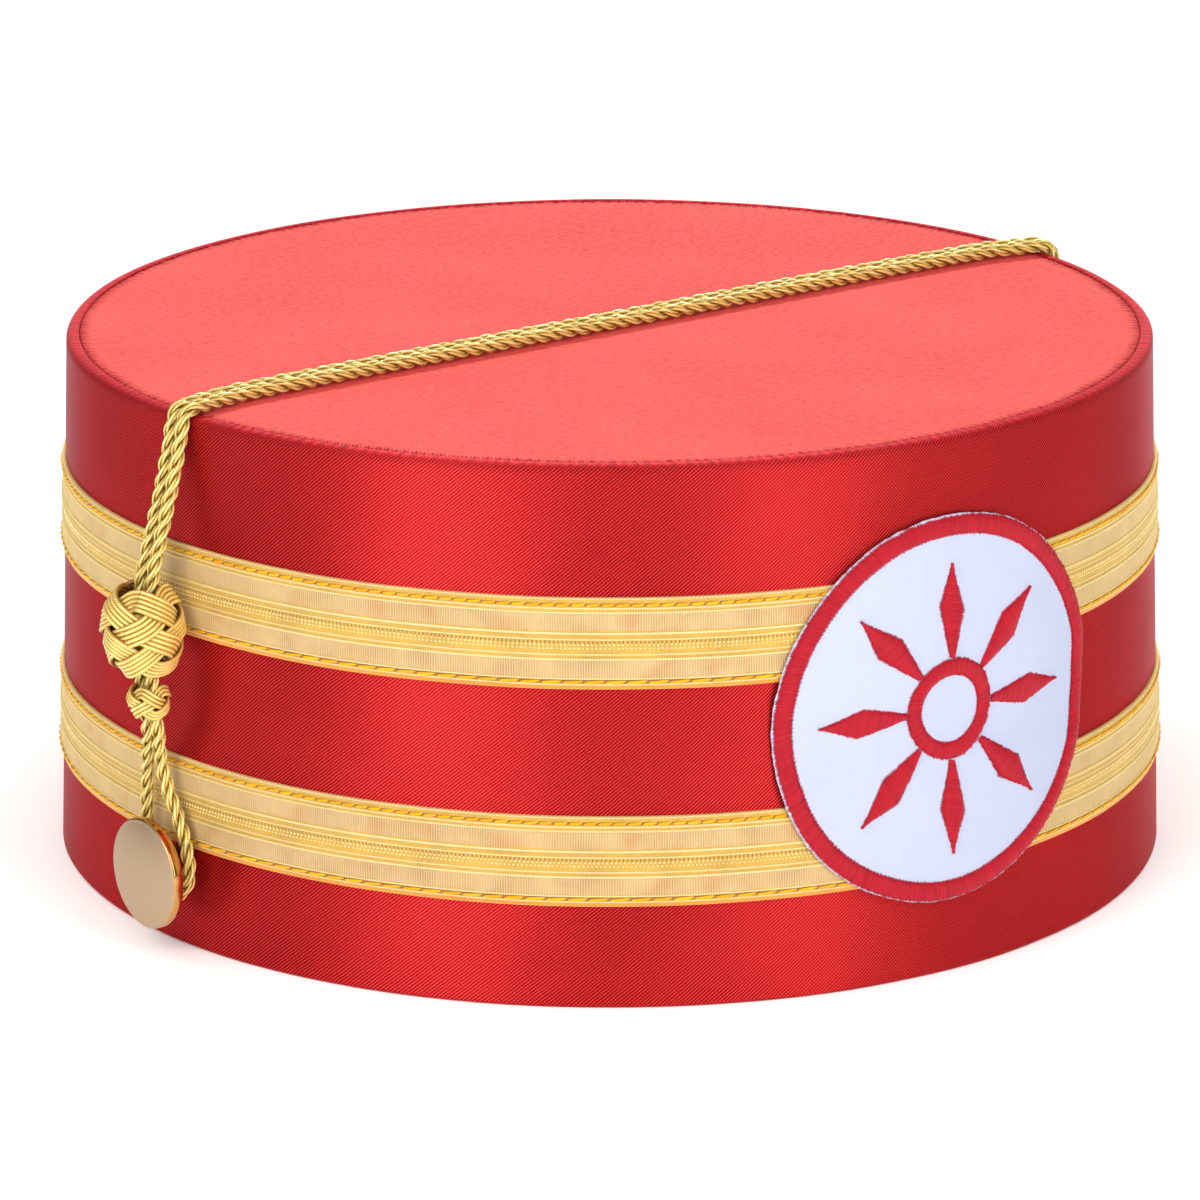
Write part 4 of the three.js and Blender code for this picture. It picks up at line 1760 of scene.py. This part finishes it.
@dataclass(frozen=True)
class WideSun:
    """A wide light from above or behind, on the cap or the floor alone; both angles are in degrees."""

    name: str
    elevation: float
    angle: float
    power: float
    on_floor: bool = False


@dataclass
class Studio:
    """Floor, backdrop, light and camera."""

    floor_size: float = 20.0
    floor_white: StudioWhite = StudioWhite("studio_white", glow=0.08)
    wall_radius: float = 9.5
    wall_height: float = 9.0
    wall_places: int = 64
    wall_white: StudioWhite = StudioWhite("backdrop_white", glow=1.2)
    world: float = 0.08
    boxes: tuple[SoftBox, ...] = (
        SoftBox("left_box", turn=-34.0, height=0.45, away=0.95, size=(0.5, 0.85), power=6.2),
        SoftBox("right_box", turn=36.0, height=0.45, away=0.95, size=(0.42, 0.85), power=3.7),
        SoftBox("front_fill", turn=0.0, height=0.5, away=1.3, size=(0.5, 0.5), power=1.0),
        SoftBox("edge_box", turn=146.0, height=0.22, away=1.0, size=(0.3, 0.5), power=0.35),
        SoftBox("back_box", turn=180.0, height=0.55, away=1.6, size=(0.9, 1.1), power=2.2),
    )
    suns: tuple[WideSun, ...] = (
        WideSun("sky", elevation=90.0, angle=100.0, power=0.75),
        WideSun("back_key", elevation=41.0, angle=12.0, power=2.55),
        WideSun("floor_sky", elevation=90.0, angle=100.0, power=2.7, on_floor=True),
    )
    azimuth: float = -37.0
    elevation: float = 16.6845
    distance: float = 1123.88 * MM
    target: float = 40.27 * MM
    lens: float = 194.39
    sensor: float = 36.0
    shift: tuple[float, float] = (-0.0082, -0.00056)
    clip: tuple[float, float] = (0.05, 50.0)

    def floor(self) -> None:
        """Lay the floor."""
        half = self.floor_size / 2
        corners = np.array([(-half, -half, 0.0), (half, -half, 0.0), (half, half, 0.0), (-half, half, 0.0)])
        floor = shape("floor", corners, faces=[(0, 1, 2, 3)])
        floor.data.materials.append(self.floor_white.material())

    def backdrop(self) -> None:
        """Stand a white wall far round the cap, for the camera alone, so that low views have no dark sky."""
        turns = np.arange(self.wall_places) * TAU / self.wall_places
        ring = np.column_stack([polar(self.wall_radius, turns), np.zeros_like(turns)])
        low = np.arange(self.wall_places)
        after = np.roll(low, -1)
        faces = np.stack([after, low, low + self.wall_places, after + self.wall_places], -1)
        wall = shape("backdrop", np.vstack([ring, ring + UP * self.wall_height]), faces=faces.tolist())
        wall.data.materials.append(self.wall_white.material())
        wall.visible_diffuse = wall.visible_glossy = wall.visible_shadow = False

    def point(self, obj: bpy.types.Object, turn: float, away: float, height: float) -> None:
        """Place an object round the axis and point it at the cap.

        Args:
            obj: The light or camera.
            turn: Angle to the right of the camera, in degrees.
            away: Distance from the axis.
            height: Height above the floor.
        """
        angle = math.radians(self.azimuth + turn)
        obj.location = Vector((away * math.sin(angle), -away * math.cos(angle), height))
        look = Vector((0.0, 0.0, self.target)) - obj.location
        obj.rotation_euler = look.to_track_quat("-Z", "Y").to_euler()

    def hang(self, box: SoftBox) -> None:
        """Hang a soft light."""
        light = bpy.data.lights.new(box.name, "AREA")
        light.shape = "RECTANGLE"
        light.size, light.size_y = box.size
        light.energy = box.power
        self.point(link(box.name, light), box.turn, box.away, box.height)

    def shine(self, sun: WideSun) -> None:
        """Set a wide light and the pieces that it falls on."""
        light = bpy.data.lights.new(sun.name, "SUN")
        light.energy = sun.power
        light.angle = math.radians(sun.angle)
        obj = link(sun.name, light)
        obj.rotation_euler = (math.radians(sun.elevation - 90.0), 0.0, math.radians(self.azimuth))
        lit = bpy.data.collections.new(f"{sun.name}_falls_on")
        for piece in bpy.context.scene.objects:
            if piece.type == "MESH" and (piece.name == "floor") == sun.on_floor:
                lit.objects.link(piece)
        obj.light_linking.receiver_collection = lit

    def surround(self) -> None:
        """Set the faint white surroundings."""
        world = bpy.data.worlds.new("studio")
        world.use_nodes = True
        background = world.node_tree.nodes["Background"]
        background.inputs["Strength"].default_value = self.world
        background.inputs["Color"].default_value = (1.0, 1.0, 1.0, 1.0)
        bpy.context.scene.world = world

    def camera(self) -> None:
        """Set the camera at the photo's angle."""
        lens = bpy.data.cameras.new("camera")
        lens.sensor_width = self.sensor
        lens.lens = self.lens
        lens.shift_x, lens.shift_y = self.shift
        lens.clip_start, lens.clip_end = self.clip
        obj = link("camera", lens)
        rise = math.radians(self.elevation)
        away, height = self.distance * math.cos(rise), self.target + self.distance * math.sin(rise)
        self.point(obj, 0.0, away, height)
        bpy.context.scene.camera = obj

    def build(self) -> None:
        """Set up the whole studio; the backdrop comes after the lights, so that no sun is linked to it."""
        self.floor()
        self.surround()
        for box in self.boxes:
            self.hang(box)
        for sun in self.suns:
            self.shine(sun)
        self.backdrop()
        self.camera()
        bpy.context.scene.view_settings.view_transform = "Standard"


def main() -> None:
    """Build the cap piece by piece, then the studio."""
    logging.basicConfig(level=logging.INFO, format="%(message)s")
    _, wall_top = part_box("crown_wall")
    drum = Drum(hem_radius=wall_top.x, height=wall_top.z)
    stitches, strands = StitchTree(), StrandTree()
    CrownWall(drum).build()
    TopPanel(drum).build()
    bands = {label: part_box(label)[0].z for label in ("upper_band", "lower_band")}
    for label, bottom in bands.items():
        band = LaceBand(drum, label, bottom)
        band.build()
        band.sew(stitches)
    patch = Patch(drum, tuple(bands.values()))
    patch.build()
    patch.sew(stitches)
    # Each gimp's tones run from painted crease shade through the body gold to a painted crown highlight.
    twist_shade_and_highlight = (srgb(176, 136, 58), srgb(228, 202, 110), srgb(255, 246, 172))
    Cord(drum, GimpGold("gold_cord", *twist_shade_and_highlight, crease_share=0.1)).build(strands)
    knot_shade_and_highlight = (srgb(144, 94, 34), srgb(212, 166, 74), srgb(249, 224, 132))
    gimp = GimpGold("gold_knot_gimp", *knot_shade_and_highlight, crease_share=0.2)
    for side in Side:
        for kind in Knot:
            WovenKnot(drum, side, kind, gimp).build(strands)
        Button(drum, side).build()
    Studio().build()


if __name__ == "__main__":
    main()
